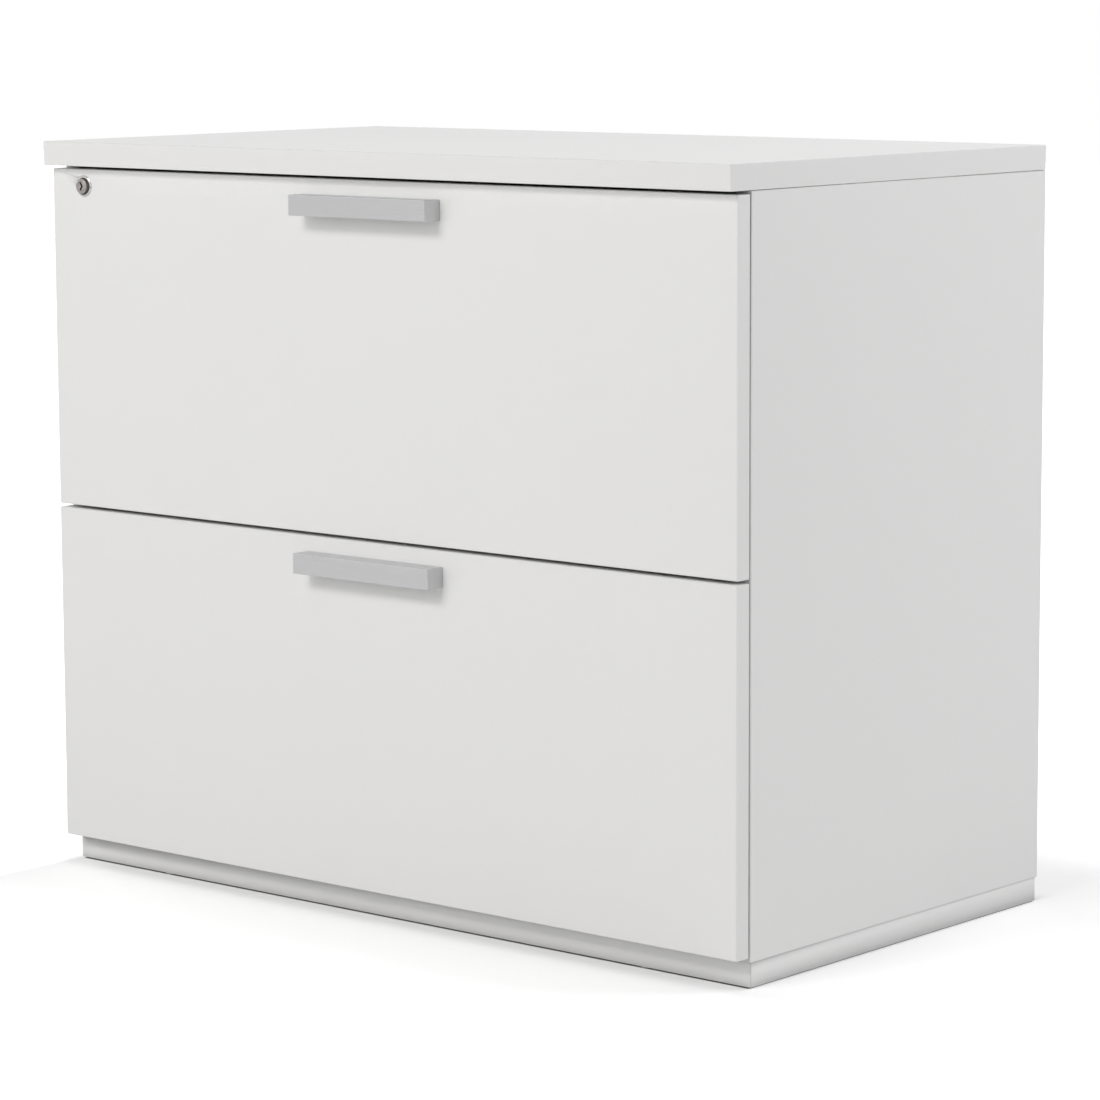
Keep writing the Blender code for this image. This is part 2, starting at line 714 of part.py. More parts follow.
def add_catch(drawer, low_z, carrier):
    """Fork on the left of the box that the lock bar's pin rises into."""
    slot_half = LOCK_PIN_RADIUS + CATCH_PLAY
    foot_z = catch_low_z(low_z)
    head_z = foot_z + CATCH_HEIGHT
    slot_top = foot_z + bar_lift - CATCH_CLEARANCE + CATCH_PLAY
    near_y = bar_mid_y - CATCH_WIDTH / 2
    far_y = bar_mid_y + CATCH_WIDTH / 2
    flare = CATCH_PLAY
    outline = [
        (near_y, foot_z),
        (bar_mid_y - slot_half - flare, foot_z),
        (bar_mid_y - slot_half, foot_z + 2 * flare),
        (bar_mid_y - slot_half, slot_top),
        (bar_mid_y + slot_half, slot_top),
        (bar_mid_y + slot_half, foot_z + 2 * flare),
        (bar_mid_y + slot_half + flare, foot_z),
        (far_y, foot_z),
        (far_y, head_z),
        (near_y, head_z),
    ]
    bm = prism_bmesh(outline, "x", -box_half - SEAT - CATCH_DEPTH, -box_half - SEAT)
    centre = (-box_half - SEAT, bar_mid_y, foot_z)
    finish_object(drawer + "_lock_catch", bm, centre, own_finish(zinc_steel), carrier)


def add_drawer(drawer, front_z):
    """One drawer: front, handle, box, file rails, catch and slides, on its own carrier."""
    low_z = front_z + BOX_RISE
    slide_z = low_z + SLIDE_RISE
    carrier = make_carrier(drawer + "_drawer_carrier", (0.0, slide_front_y, slide_z))
    front_x = half_width - FRONT_SIDE_INSET
    front = add_board(
        drawer + "_front",
        (-front_x, face_y, front_z),
        (front_x, front_back_y, front_z + front_height),
        own_finish(white_board),
        carrier,
        edge=BOARD_EDGE,
    )
    add_handle(drawer + "_handle", front_z + front_height - HANDLE_DROP, carrier)
    add_box_sides(drawer, low_z, carrier)
    add_box_ends(drawer, low_z, carrier)
    add_file_rails(drawer, low_z, carrier)
    add_catch(drawer, low_z, carrier)
    add_slides(drawer, slide_z, carrier)
    return carrier, front


add_drawer("lower", lower_front_z)
upper_carrier, upper_front = add_drawer("upper", upper_front_z)


# Lock housing through the upper front: a thin flange, a nose that stands proud of it and tapers,
# and a barrel, open at both ends
bore_radius = BARREL_RADIUS + SEAT
bore = helper_prism(
    "lock_bore", disc_outline((lock_x, lock_z), bore_radius, 28), "y",
    face_y - FRONT_THICKNESS, front_back_y + FRONT_THICKNESS,
)
bore.parent = upper_carrier
bore.location = -upper_carrier.location
modify(upper_front, bore, "DIFFERENCE")

rim_y = face_y - BEZEL_HEIGHT
nose_y = face_y - NOSE_HEIGHT
barrel_end_y = front_back_y + BARREL_TAIL
plug_bore = PLUG_RADIUS + SEAT
housing_profile = [
    (plug_bore, nose_y),
    (NOSE_RADIUS - METAL_EDGE, nose_y),
    (NOSE_RADIUS, nose_y + METAL_EDGE),
    (NOSE_FOOT_RADIUS, rim_y),
    (BEZEL_RADIUS - METAL_EDGE, rim_y),
    (BEZEL_RADIUS, rim_y + METAL_EDGE),
    (BEZEL_RADIUS, face_y - SEAT),
    (BARREL_RADIUS, face_y - SEAT),
    (BARREL_RADIUS, barrel_end_y),
    (plug_bore, barrel_end_y),
]
bm = turned_bmesh(housing_profile, (lock_x, lock_z), 28)
finish_object("lock_housing", bm, (lock_x, face_y, lock_z), chrome, upper_carrier, smooth=True)

# Hexagonal nut that clamps the housing behind the front
nut_y = front_back_y + SEAT
hexagon = disc_outline((lock_x, lock_z), NUT_WIDTH / 2 / math.cos(math.pi / 6), 6)
nut_bm = prism_bmesh(hexagon, "y", nut_y, nut_y + NUT_THICKNESS)
nut = finish_object(
    "lock_nut", nut_bm, (lock_x, nut_y, lock_z), own_finish(zinc_steel), upper_carrier,
)
nut_bore = helper_prism(
    "lock_nut_bore", disc_outline((lock_x, lock_z), bore_radius, 28), "y",
    nut_y - NUT_THICKNESS, nut_y + 2 * NUT_THICKNESS,
)
nut_bore.parent = upper_carrier
nut_bore.location = -upper_carrier.location
modify(nut, nut_bore, "DIFFERENCE")

# Plug that the key turns, with its keyway, crank and crank pin, on the lock's own carrier
plug_carrier = make_carrier("lock_plug_carrier", (lock_x, face_y, lock_z))
plug_front_y = nose_y + SEAT
plug_end_y = barrel_end_y + SEAT
head_y = bar_mid_y - LOCK_HEAD_THICKNESS / 2
crank_end_y = plug_end_y + CRANK_THICKNESS
plug_bm = turned_bmesh(
    [
        (0.0, plug_front_y),
        (PLUG_RADIUS - METAL_EDGE, plug_front_y),
        (PLUG_RADIUS, plug_front_y + METAL_EDGE),
        (PLUG_RADIUS, plug_end_y + CRANK_THICKNESS / 2),
        (0.0, plug_end_y + CRANK_THICKNESS / 2),
    ],
    (lock_x, lock_z), 28,
)
plug = finish_object(
    "lock_plug", plug_bm, (lock_x, face_y, lock_z), nickel, plug_carrier, smooth=True,
)
keyway_left = lock_x - KEYWAY_BEND / 2 - KEYWAY_WIDTH / 2
keyway_half = KEYWAY_HEIGHT / 2
keyway_outline = [
    (keyway_left - KEYWAY_BEND / 2, lock_z + keyway_half),
    (keyway_left + KEYWAY_BEND / 2, lock_z),
    (keyway_left - KEYWAY_BEND / 2, lock_z - keyway_half),
    (keyway_left + KEYWAY_WIDTH - KEYWAY_BEND / 2, lock_z - keyway_half),
    (keyway_left + KEYWAY_WIDTH + KEYWAY_BEND / 2, lock_z),
    (keyway_left + KEYWAY_WIDTH - KEYWAY_BEND / 2, lock_z + keyway_half),
]
keyway = helper_prism(
    "lock_keyway", keyway_outline, "y", plug_front_y - KEYWAY_WIDTH, plug_front_y + KEYWAY_DEPTH,
)

# The crank's outline wraps the plug's end and the pin's foot
boss_radius = BARREL_RADIUS
tip_radius = 2 * CRANK_PIN_RADIUS
away = math.degrees(math.atan2(pin_rest_z - lock_z, pin_rest_x - lock_x))
lean = math.degrees(math.acos((boss_radius - tip_radius) / CRANK_THROW))
crank_outline = arc((lock_x, lock_z), boss_radius, away + lean, away + 360 - lean, 14)
crank_outline += arc((pin_rest_x, pin_rest_z), tip_radius, away - lean, away + lean, 6)
crank = helper_prism("lock_crank", crank_outline, "y", plug_end_y, crank_end_y)
pin_end_y = head_y + LOCK_HEAD_THICKNESS + CRANK_THICKNESS
crank_pin = helper_prism(
    "lock_crank_pin", disc_outline((pin_rest_x, pin_rest_z), CRANK_PIN_RADIUS, 14), "y",
    plug_end_y + CRANK_THICKNESS / 2, pin_end_y,
)
for tool, operation in ((keyway, "DIFFERENCE"), (crank, "UNION"), (crank_pin, "UNION")):
    tool.parent = plug_carrier
    tool.location = -plug_carrier.location
    modify(plug, tool, operation)

# Lock bar in its groove, with a head plate for the crank pin and a locking pin per drawer
upper_catch_z = catch_low_z(upper_front_z + BOX_RISE)
lower_catch_z = catch_low_z(lower_front_z + BOX_RISE)
pin_drop = CATCH_CLEARANCE + LOCK_PIN_RADIUS
slot_half_height = CRANK_PIN_RADIUS + LOCK_SLOT_PLAY
head_low_z = pin_rest_z - slot_half_height - LOCK_HEAD_WALL
head_high_z = pin_rest_z + slot_half_height + LOCK_HEAD_WALL
bar_low_z = lower_catch_z - pin_drop - LOCK_BAR_WIDTH
bar_carrier = make_carrier("lock_bar_carrier", (bar_left_x, bar_mid_y, bar_low_z))
lock_bar = add_board(
    "lock_bar",
    (bar_left_x, bar_front_y, bar_low_z),
    (bar_right_x, bar_front_y + LOCK_BAR_WIDTH, head_high_z),
    own_finish(zinc_steel),
    bar_carrier,
)
slot_left = lock_x - CRANK_THROW - CRANK_PIN_RADIUS - LOCK_SLOT_PLAY
slot_right = pin_rest_x + CRANK_PIN_RADIUS + LOCK_SLOT_PLAY
head = helper_prism(
    "lock_bar_head",
    [
        (bar_left_x + LOCK_BAR_THICKNESS / 2, head_low_z),
        (slot_right + LOCK_HEAD_WALL, head_low_z),
        (slot_right + LOCK_HEAD_WALL, head_high_z - METAL_EDGE),
        (bar_left_x + LOCK_BAR_THICKNESS / 2, head_high_z - METAL_EDGE),
    ],
    "y", head_y, head_y + LOCK_HEAD_THICKNESS,
)
slot = helper_prism(
    "lock_bar_slot",
    arc((slot_left + slot_half_height, pin_rest_z), slot_half_height, 90, 270, 5)
    + arc((slot_right - slot_half_height, pin_rest_z), slot_half_height, -90, 90, 5),
    "y", head_y - LOCK_HEAD_THICKNESS, head_y + 2 * LOCK_HEAD_THICKNESS,
)
tools = [(head, "UNION"), (slot, "DIFFERENCE")]
for drawer, catch_z in (("upper", upper_catch_z), ("lower", lower_catch_z)):
    pin = helper_prism(
        "lock_bar_" + drawer + "_pin",
        disc_outline((bar_mid_y, catch_z - pin_drop), LOCK_PIN_RADIUS, 14),
        "x", bar_left_x + LOCK_BAR_THICKNESS / 2, bar_right_x + LOCK_PIN_LENGTH,
    )
    tools.append((pin, "UNION"))
for tool, operation in tools:
    tool.parent = bar_carrier
    tool.location = -bar_carrier.location
    modify(lock_bar, tool, operation)

# Guides that keep the bar in its groove, screwed to the side panel across it
guide_front_y = bar_front_y - GUIDE_WING
guide_back_y = bar_front_y + LOCK_BAR_WIDTH + GUIDE_WING
for guide_name, catch_z in (("upper", upper_catch_z), ("lower", lower_catch_z)):
    guide_z = catch_z + GUIDE_ABOVE_CATCH
    add_board(
        "lock_bar_guide_" + guide_name,
        (-inner_half + SEAT, max(guide_front_y, side_front_y + SEAT), guide_z),
        (-inner_half + SEAT + GUIDE_THICKNESS, guide_back_y, guide_z + GUIDE_HEIGHT),
        own_finish(zinc_steel),
        edge=METAL_EDGE,
        segments=1,
    )
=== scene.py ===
"""Finishes, fine pieces and view of a two-drawer lateral filing cabinet in white laminate board.

Metres, +Z up, the drawer fronts face -Y, and the cabinet stands on the floor at Z 0.
"""

import math

import bmesh
import bpy
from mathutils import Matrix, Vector


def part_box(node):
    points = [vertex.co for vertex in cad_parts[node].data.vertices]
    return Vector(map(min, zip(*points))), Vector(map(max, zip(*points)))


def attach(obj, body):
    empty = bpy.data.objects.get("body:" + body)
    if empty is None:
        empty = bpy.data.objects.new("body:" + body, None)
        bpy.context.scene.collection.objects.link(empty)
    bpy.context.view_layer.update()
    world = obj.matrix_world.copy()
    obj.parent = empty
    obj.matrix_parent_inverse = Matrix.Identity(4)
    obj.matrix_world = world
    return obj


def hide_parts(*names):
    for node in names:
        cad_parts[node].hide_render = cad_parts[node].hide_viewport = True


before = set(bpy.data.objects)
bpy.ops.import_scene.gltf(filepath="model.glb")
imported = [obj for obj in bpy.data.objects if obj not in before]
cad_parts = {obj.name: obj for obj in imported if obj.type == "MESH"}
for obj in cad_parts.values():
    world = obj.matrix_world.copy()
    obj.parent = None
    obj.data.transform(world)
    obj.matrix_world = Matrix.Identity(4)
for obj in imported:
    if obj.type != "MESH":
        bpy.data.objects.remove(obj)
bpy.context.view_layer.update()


# Top panel and side panels. Particle board between two sheets of white melamine paper, pressed
# against a fine pearl plate, with a thin plastic band glued round the sawn edges. The sides hang
# from cam fittings inside, so that no fixing shows from outside.
BAND_THICKNESS = 0.0008
GLUE_LINE = 0.00022
WHITE_TONE = (0.795, 0.795, 0.79, 1.0)
GLUE_TONE = (0.60, 0.59, 0.57, 1.0)
GLUE_SHARE = 0.55
BAND_SHADE = 0.985


def add_node(tree, kind, sockets=None, **settings):
    """A node with its settings, its sockets set to values or joined to other sockets."""
    node = tree.nodes.new(kind)
    for name, value in settings.items():
        setattr(node, name, value)
    for name, value in (sockets or {}).items():
        if isinstance(value, bpy.types.NodeSocket):
            tree.links.new(value, node.inputs[name])
        else:
            node.inputs[name].default_value = value
    return node


def reckon(tree, operation, *values):
    """A sum of numbers or sockets."""
    node = add_node(tree, "ShaderNodeMath", dict(enumerate(values)), operation=operation)
    return node.outputs[0]


def reckon_vector(tree, operation, *values):
    """A sum of vectors, a number for a length or a dot product."""
    node = add_node(tree, "ShaderNodeVectorMath", dict(enumerate(values)), operation=operation)
    return node.outputs["Value" if operation in ("DOT_PRODUCT", "LENGTH") else "Vector"]


def take_apart(tree, vector):
    """A vector's X, Y and Z."""
    return add_node(tree, "ShaderNodeSeparateXYZ", {0: vector}).outputs


def object_place(tree):
    """Where a point of the surface is, in metres."""
    return add_node(tree, "ShaderNodeTexCoord").outputs["Object"]


def noise(tree, place, scale, detail, **more):
    """Soft blotches round a half, the smaller the larger the scale."""
    sockets = {"Vector": place, "Scale": scale, "Detail": detail, **more}
    return add_node(tree, "ShaderNodeTexNoise", sockets).outputs[0]


def remap(tree, value, low, high, start=0.0, end=1.0):
    """A number from one range fitted smoothly into another."""
    sockets = {"Value": value, "From Min": low, "From Max": high, "To Min": start, "To Max": end}
    node = add_node(tree, "ShaderNodeMapRange", sockets, interpolation_type="SMOOTHSTEP")
    return node.outputs["Result"]


def blend_tones(tree, share, first, second):
    """The first colour with a share of the second over it."""
    sockets = {0: share, 6: first, 7: second}
    return add_node(tree, "ShaderNodeMix", sockets, data_type="RGBA").outputs[2]


def scale_tone(tree, tone, share):
    """A colour made darker or lighter by a share."""
    sockets = {0: tone, "Scale": share}
    return add_node(tree, "ShaderNodeVectorMath", sockets, operation="SCALE").outputs["Vector"]


def open_group(name, inputs, outputs):
    """A new effect, with the sockets that its values come from and the ones that it fills."""
    group = bpy.data.node_groups.new(name, "ShaderNodeTree")
    for label, (kind, value) in inputs.items():
        socket = group.interface.new_socket(label, in_out="INPUT", socket_type="NodeSocket" + kind)
        socket.default_value = value
    for label, kind in outputs.items():
        group.interface.new_socket(label, in_out="OUTPUT", socket_type="NodeSocket" + kind)
    given = group.nodes.new("NodeGroupInput").outputs
    filled = group.nodes.new("NodeGroupOutput").inputs
    return group, given, filled


def use_effect(tree, name, **values):
    """Places an effect with its values, and gives its outputs."""
    node = add_node(tree, "ShaderNodeGroup", None, node_tree=bpy.data.node_groups[name])
    for label, value in values.items():
        socket = node.inputs[label.replace("_", " ")]
        if isinstance(value, bpy.types.NodeSocket):
            tree.links.new(value, socket)
        else:
            socket.default_value = value
    return node.outputs


def begin_material(name, plain):
    """A material with a Principled shader, and what is the same all over it set there."""
    material = bpy.data.materials.new(name)
    material.use_nodes = True
    shader = material.node_tree.nodes["Principled BSDF"]
    for socket, value in plain.items():
        shader.inputs[socket].default_value = value
    return material, material.node_tree, shader


def join_up(tree, shader, **sockets):
    """Joins colours and numbers to a shader's sockets."""
    for name, value in sockets.items():
        tree.links.new(value, shader.inputs[name.replace("_", " ")])


def raise_bump(tree, shader, height, depth, strength=1.0):
    """Turns a height from 0 to 1 into a relief of that depth in metres."""
    sockets = {"Height": height, "Distance": depth, "Strength": strength}
    bump = add_node(tree, "ShaderNodeBump", sockets)
    tree.links.new(bump.outputs["Normal"], shader.inputs["Normal"])


# The pressed melamine face: faint clouds in the white, a fine pearl, and rubbed places
skin, given, filled = open_group(
    "melamine_skin",
    {
        "Tone": ("Color", WHITE_TONE),
        "Clouds": ("Float", 0.008),
        "Pearl Scale": ("Float", 900.0),
        "Roughness": ("Float", 0.4),
        "Rubbing": ("Float", 0.05),
    },
    {"Color": "Color", "Roughness": "Float", "Height": "Float"},
)
place = object_place(skin)
clouds = noise(skin, place, 5.0, 4.0)
pearl = noise(skin, place, given["Pearl Scale"], 1.5)
ripple = noise(skin, place, 60.0, 1.0)
rubbed = noise(skin, place, 17.0, 5.0, Distortion=0.7)
swing = reckon(skin, "MULTIPLY", reckon(skin, "SUBTRACT", clouds, 0.5), given["Clouds"])
shade = reckon(skin, "MULTIPLY_ADD", swing, 2.0, 1.0)
wear = reckon(skin, "SUBTRACT", rubbed, 0.5)
worn = reckon(skin, "MULTIPLY_ADD", wear, given["Rubbing"], given["Roughness"])
skin.links.new(scale_tone(skin, given["Tone"], shade), filled["Color"])
skin.links.new(worn, filled["Roughness"])
skin.links.new(reckon(skin, "MULTIPLY_ADD", ripple, 0.8, pearl), filled["Height"])

# The band round a board: a glue line on both faces near each edge, and where the edge faces are
seam, given, filled = open_group(
    "band_seam",
    {
        "Low": ("Vector", (0.0, 0.0, 0.0)),
        "High": ("Vector", (1.0, 1.0, 1.0)),
        "Across": ("Vector", (0.0, 0.0, 1.0)),
        "Inset": ("Float", BAND_THICKNESS),
        "Width": ("Float", GLUE_LINE),
    },
    {"Seam": "Float", "Edge": "Float"},
)
coordinates = add_node(seam, "ShaderNodeTexCoord")
place = coordinates.outputs["Object"]
from_low = reckon_vector(seam, "ABSOLUTE", reckon_vector(seam, "SUBTRACT", place, given["Low"]))
from_high = reckon_vector(seam, "ABSOLUTE", reckon_vector(seam, "SUBTRACT", given["High"], place))
nearest = reckon_vector(seam, "MINIMUM", from_low, from_high)
inset = add_node(seam, "ShaderNodeCombineXYZ", {axis: given["Inset"] for axis in "XYZ"}).outputs[0]
off_line = reckon_vector(seam, "ABSOLUTE", reckon_vector(seam, "SUBTRACT", nearest, inset))
off_x, off_y, off_z = take_apart(seam, reckon_vector(seam, "ADD", off_line, given["Across"]))
closest = reckon(seam, "MINIMUM", reckon(seam, "MINIMUM", off_x, off_y), off_z)
along_normal = reckon_vector(seam, "DOT_PRODUCT", coordinates.outputs["Normal"], given["Across"])
facing = reckon(seam, "ABSOLUTE", along_normal)
on_face = reckon(seam, "GREATER_THAN", facing, 0.9)
line = reckon(seam, "LESS_THAN", closest, given["Width"])
seam.links.new(reckon(seam, "MULTIPLY", line, on_face), filled["Seam"])
seam.links.new(reckon(seam, "LESS_THAN", facing, 0.5), filled["Edge"])


def white_laminate(node, across, glue_line=GLUE_LINE):
    """White melamine for a banded board, across being the way through its thickness."""
    material, tree, shader = begin_material(node + "_laminate", {"Specular IOR Level": 0.42})
    low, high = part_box(node)
    face = use_effect(tree, "melamine_skin", Tone=WHITE_TONE, Roughness=0.36)
    band = use_effect(tree, "band_seam", Low=low, High=high, Across=across, Width=glue_line)
    shade = reckon(tree, "MULTIPLY_ADD", band["Edge"], BAND_SHADE - 1.0, 1.0)
    shaded = scale_tone(tree, face["Color"], shade)
    glue = reckon(tree, "MULTIPLY", band["Seam"], GLUE_SHARE)
    glued = blend_tones(tree, glue, shaded, GLUE_TONE)
    join_up(tree, shader, Base_Color=glued, Roughness=face["Roughness"])
    raise_bump(tree, shader, face["Height"], 0.000012, 0.5)
    return material


def dress(node, material, rounding=0.0, crease=40.0):
    """Gives a piece of the frame its material and even shading, and breaks its sawn edges."""
    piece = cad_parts[node]
    mesh = piece.data
    mesh.materials.clear()
    mesh.materials.append(material)
    for layer in ("custom_normal", "sharp_edge"):
        if layer in mesh.attributes:
            mesh.attributes.remove(mesh.attributes[layer])
    mesh.shade_smooth()
    weld = piece.modifiers.new("weld", "WELD")
    weld.merge_threshold = 0.00001
    if rounding > 0.0:
        bevel = piece.modifiers.new("broken_edges", "BEVEL")
        bevel.width = rounding
        bevel.segments = 2
        bevel.limit_method = "ANGLE"
        bevel.angle_limit = math.radians(60)
    if crease > 0.0:
        split = piece.modifiers.new("creases", "EDGE_SPLIT")
        split.split_angle = math.radians(crease)
    else:
        piece.modifiers.new("flat_faces", "WEIGHTED_NORMAL")
    return piece


dress("top_panel", white_laminate("top_panel", (0.0, 0.0, 1.0)), crease=0.0)
for side in ("left", "right"):
    panel = side + "_side_panel"
    dress(panel, white_laminate(panel, (1.0, 0.0, 0.0)), crease=0.0)


# Floor panel and rear top rail. The same board in a plain grey white, cut to fit between the
# sides and held by cams and dowels. Only their front edges are banded.
CARCASS_TONE = (0.62, 0.62, 0.615, 1.0)


def plain_skin(name, gloss, relief, **values):
    """A material that is pressed or moulded skin all over, with the values of its own kind."""
    material, tree, shader = begin_material(name, {"Specular IOR Level": gloss})
    face = use_effect(tree, "melamine_skin", **values)
    join_up(tree, shader, Base_Color=face["Color"], Roughness=face["Roughness"])
    raise_bump(tree, shader, face["Height"], relief, 0.6)
    return material


inner_board = plain_skin(
    "carcass_laminate", 0.4, 0.000018,
    Tone=CARCASS_TONE, Clouds=0.03, Roughness=0.48, Rubbing=0.14,
)
for node in ("floor_panel", "rear_top_rail"):
    dress(node, inner_board, rounding=0.0004, crease=0.0)


# Back panel. Thin hardboard with a white printed face, slid into grooves in the sides and held
# by small screws along the rail at its top and the floor panel at its foot.
BACK_TONE = (0.72, 0.72, 0.71, 1.0)
FIBRE_TONE = (0.50, 0.47, 0.42, 1.0)


def printed_hardboard():
    """White print over pressed wood fibres, whose felted lie still shows through."""
    material, tree, shader = begin_material("back_board", {"Specular IOR Level": 0.35})
    kind = {"Tone": BACK_TONE, "Clouds": 0.04, "Roughness": 0.56, "Rubbing": 0.2}
    face = use_effect(tree, "melamine_skin", **kind)
    laid = reckon_vector(tree, "MULTIPLY", object_place(tree), (90.0, 400.0, 400.0))
    fibre = noise(tree, laid, 1.0, 6.0)
    flecks = remap(tree, fibre, 0.55, 0.75, 0.0, 0.10)
    print_tone = blend_tones(tree, flecks, face["Color"], FIBRE_TONE)
    join_up(tree, shader, Base_Color=print_tone, Roughness=face["Roughness"])
    raise_bump(tree, shader, reckon(tree, "ADD", fibre, face["Height"]), 0.00003, 0.5)
    return material


dress("back_panel", printed_hardboard(), rounding=0.0003, crease=0.0)


# Screws. Bright zinc plated, with a cross recess: pan heads where the head may stand up, and
# flush heads where something slides past.
PAN_RADIUS = 0.0038
PAN_HEIGHT = 0.0021
FLUSH_RADIUS = 0.0021
FLUSH_HEIGHT = 0.0002
FLUSH_SINK = 0.0009
RECESS_ARM = 0.62
RECESS_WIDTH = 0.2
RECESS_TAPER = 0.55
PAN_RIM = 0.35
SCREW_STEPS = 20
SCREW_TURN = 0.9


def turn_profile(profile, steps):
    """Spins (radius, height) points once round the Z axis."""
    bm = bmesh.new()
    ring = [bm.verts.new((radius, 0.0, height)) for radius, height in profile]
    edges = [bm.edges.new(pair) for pair in zip(ring, ring[1:])]
    if profile[0][0] > 0.0:
        edges.append(bm.edges.new((ring[-1], ring[0])))
    bmesh.ops.spin(
        bm, geom=ring + edges, cent=(0.0, 0.0, 0.0), axis=(0.0, 0.0, 1.0),
        angle=2 * math.pi, steps=steps,
    )
    bmesh.ops.remove_doubles(bm, verts=bm.verts, dist=1e-7)
    bmesh.ops.recalc_face_normals(bm, faces=bm.faces)
    return bm


def push_outline(outline, start, end, taper=1.0):
    """An outline in X and Y pushed up Z, its start made smaller or larger by the taper."""
    bm = bmesh.new()
    rings = []
    for height, scale in ((start, taper), (end, 1.0)):
        rings.append([bm.verts.new((x * scale, y * scale, height)) for x, y in outline])
    count = len(outline)
    for index in range(count):
        after = (index + 1) % count
        bm.faces.new((rings[0][index], rings[0][after], rings[1][after], rings[1][index]))
    bm.faces.new(rings[0][::-1])
    bm.faces.new(rings[1])
    bmesh.ops.recalc_face_normals(bm, faces=bm.faces)
    return bm


def settle(name, bm):
    """Turns a bmesh, which is used up, into a mesh."""
    mesh = bpy.data.meshes.new(name)
    bm.to_mesh(mesh)
    bm.free()
    return mesh


def set_up(name, data):
    """Puts a mesh, lamp or camera into the scene as an object."""
    thing = bpy.data.objects.new(name, data)
    bpy.context.scene.collection.objects.link(thing)
    return thing


def carve(bm, tool, operation):
    """The bmesh with a tool cut out of it, or joined to it."""
    body, cutter = [set_up("carving", settle("carving", shape)) for shape in (bm, tool)]
    step = body.modifiers.new("carving", "BOOLEAN")
    step.operation = operation
    step.solver = "EXACT"
    step.object = cutter
    result = bmesh.new()
    result.from_object(body, bpy.context.evaluated_depsgraph_get())
    for used in (body, cutter):
        bpy.data.meshes.remove(used.data)
    return result


def screw_head(profile, radius, depth):
    """A turned head with a cross recess that narrows as it goes down."""
    arm = radius * RECESS_ARM
    half = radius * RECESS_WIDTH / 2
    cross = []
    for cosine, sine in ((1, 0), (0, 1), (-1, 0), (0, -1)):
        for x, y in ((half, -half), (arm, -half), (arm, half)):
            cross.append((x * cosine - y * sine, x * sine + y * cosine))
    top = max(height for _, height in profile)
    tool = push_outline(cross, top - depth, top + depth, RECESS_TAPER)
    return settle("screw_head", carve(turn_profile(profile, SCREW_STEPS), tool, "DIFFERENCE"))


pan_profile = [(0.0, 0.0), (PAN_RADIUS, 0.0), (PAN_RADIUS, PAN_HEIGHT * PAN_RIM)]
for step in range(1, 6):
    angle = math.radians(15 * step)
    crown = PAN_RIM + (1.0 - PAN_RIM) * math.sin(angle)
    pan_profile.append((PAN_RADIUS * math.cos(angle) ** 0.6, PAN_HEIGHT * crown))
pan_profile.append((0.0, PAN_HEIGHT))
pan_head = screw_head(pan_profile, PAN_RADIUS, PAN_HEIGHT * 0.6)
flush_profile = [
    (0.0, -FLUSH_SINK), (FLUSH_RADIUS * 0.8, -FLUSH_SINK), (FLUSH_RADIUS, 0.0),
    (FLUSH_RADIUS * 0.9, FLUSH_HEIGHT), (0.0, FLUSH_HEIGHT),
]
flush_head = screw_head(flush_profile, FLUSH_RADIUS, FLUSH_SINK)

# Rolled or brushed metal: fine lines that run one way, set by how the place is stretched
streaks, given, filled = open_group(
    "drawn_lines",
    {"Stretch": ("Vector", (30.0, 2500.0, 2500.0)), "Detail": ("Float", 3.0)},
    {"Line": "Float", "Cloud": "Float"},
)
place = object_place(streaks)
pulled = reckon_vector(streaks, "MULTIPLY", place, given["Stretch"])
streaks.links.new(noise(streaks, pulled, 1.0, given["Detail"]), filled["Line"])
streaks.links.new(noise(streaks, place, 38.0, 3.0), filled["Cloud"])

ZINC_COOL = (0.56, 0.58, 0.61, 1.0)
ZINC_WARM = (0.61, 0.60, 0.565, 1.0)


def zinc_plate(name, stretch, roughness=0.3):
    """Bright zinc: a silver with faint warm and cool clouds over the lines of the rolled steel."""
    material, tree, shader = begin_material(name, {"Metallic": 1.0})
    rolled = use_effect(tree, "drawn_lines", Stretch=stretch)
    tone = blend_tones(tree, remap(tree, rolled["Cloud"], 0.38, 0.62), ZINC_COOL, ZINC_WARM)
    rough = reckon(tree, "MULTIPLY_ADD", rolled["Line"], 0.14, roughness - 0.07)
    join_up(tree, shader, Base_Color=tone, Roughness=rough)
    raise_bump(tree, shader, rolled["Line"], 0.00001, 0.5)
    return material


screw_zinc = zinc_plate("screw_zinc", (600.0, 600.0, 600.0), 0.28)


def add_piece(name, bm, material, body, crease=35.0):
    """Puts a bmesh, already in its place, into a named piece that moves with a body."""
    mesh = settle(name, bm)
    mesh.materials.append(material)
    mesh.shade_smooth()
    mesh.set_sharp_from_angle(angle=math.radians(crease))
    piece = set_up(name, mesh)
    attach(piece, body)
    return piece


def set_down(bm, mesh, spot, way, scale=1.0, turn=0.0):
    """Adds a copy of a mesh drawn round the Z axis, standing at a spot with its axis that way."""
    start = len(bm.verts)
    bm.from_mesh(mesh)
    bm.verts.ensure_lookup_table()
    aim = Vector((0.0, 0.0, 1.0)).rotation_difference(Vector(way)).to_matrix()
    cosine = math.cos(turn) * scale
    sine = math.sin(turn) * scale
    for vert in bm.verts[start:]:
        x, y, z = vert.co
        turned = Vector((x * cosine - y * sine, x * sine + y * cosine, z * scale))
        vert.co = aim @ turned + Vector(spot)


def add_screws(name, head, spots, way, body, scale=1.0):
    """A group of like screws, each stopped at its own angle."""
    bm = bmesh.new()
    for number, spot in enumerate(spots):
        set_down(bm, head, spot, way, scale, turn=SCREW_TURN * number + 0.3)
    return add_piece(name, bm, screw_zinc, body)


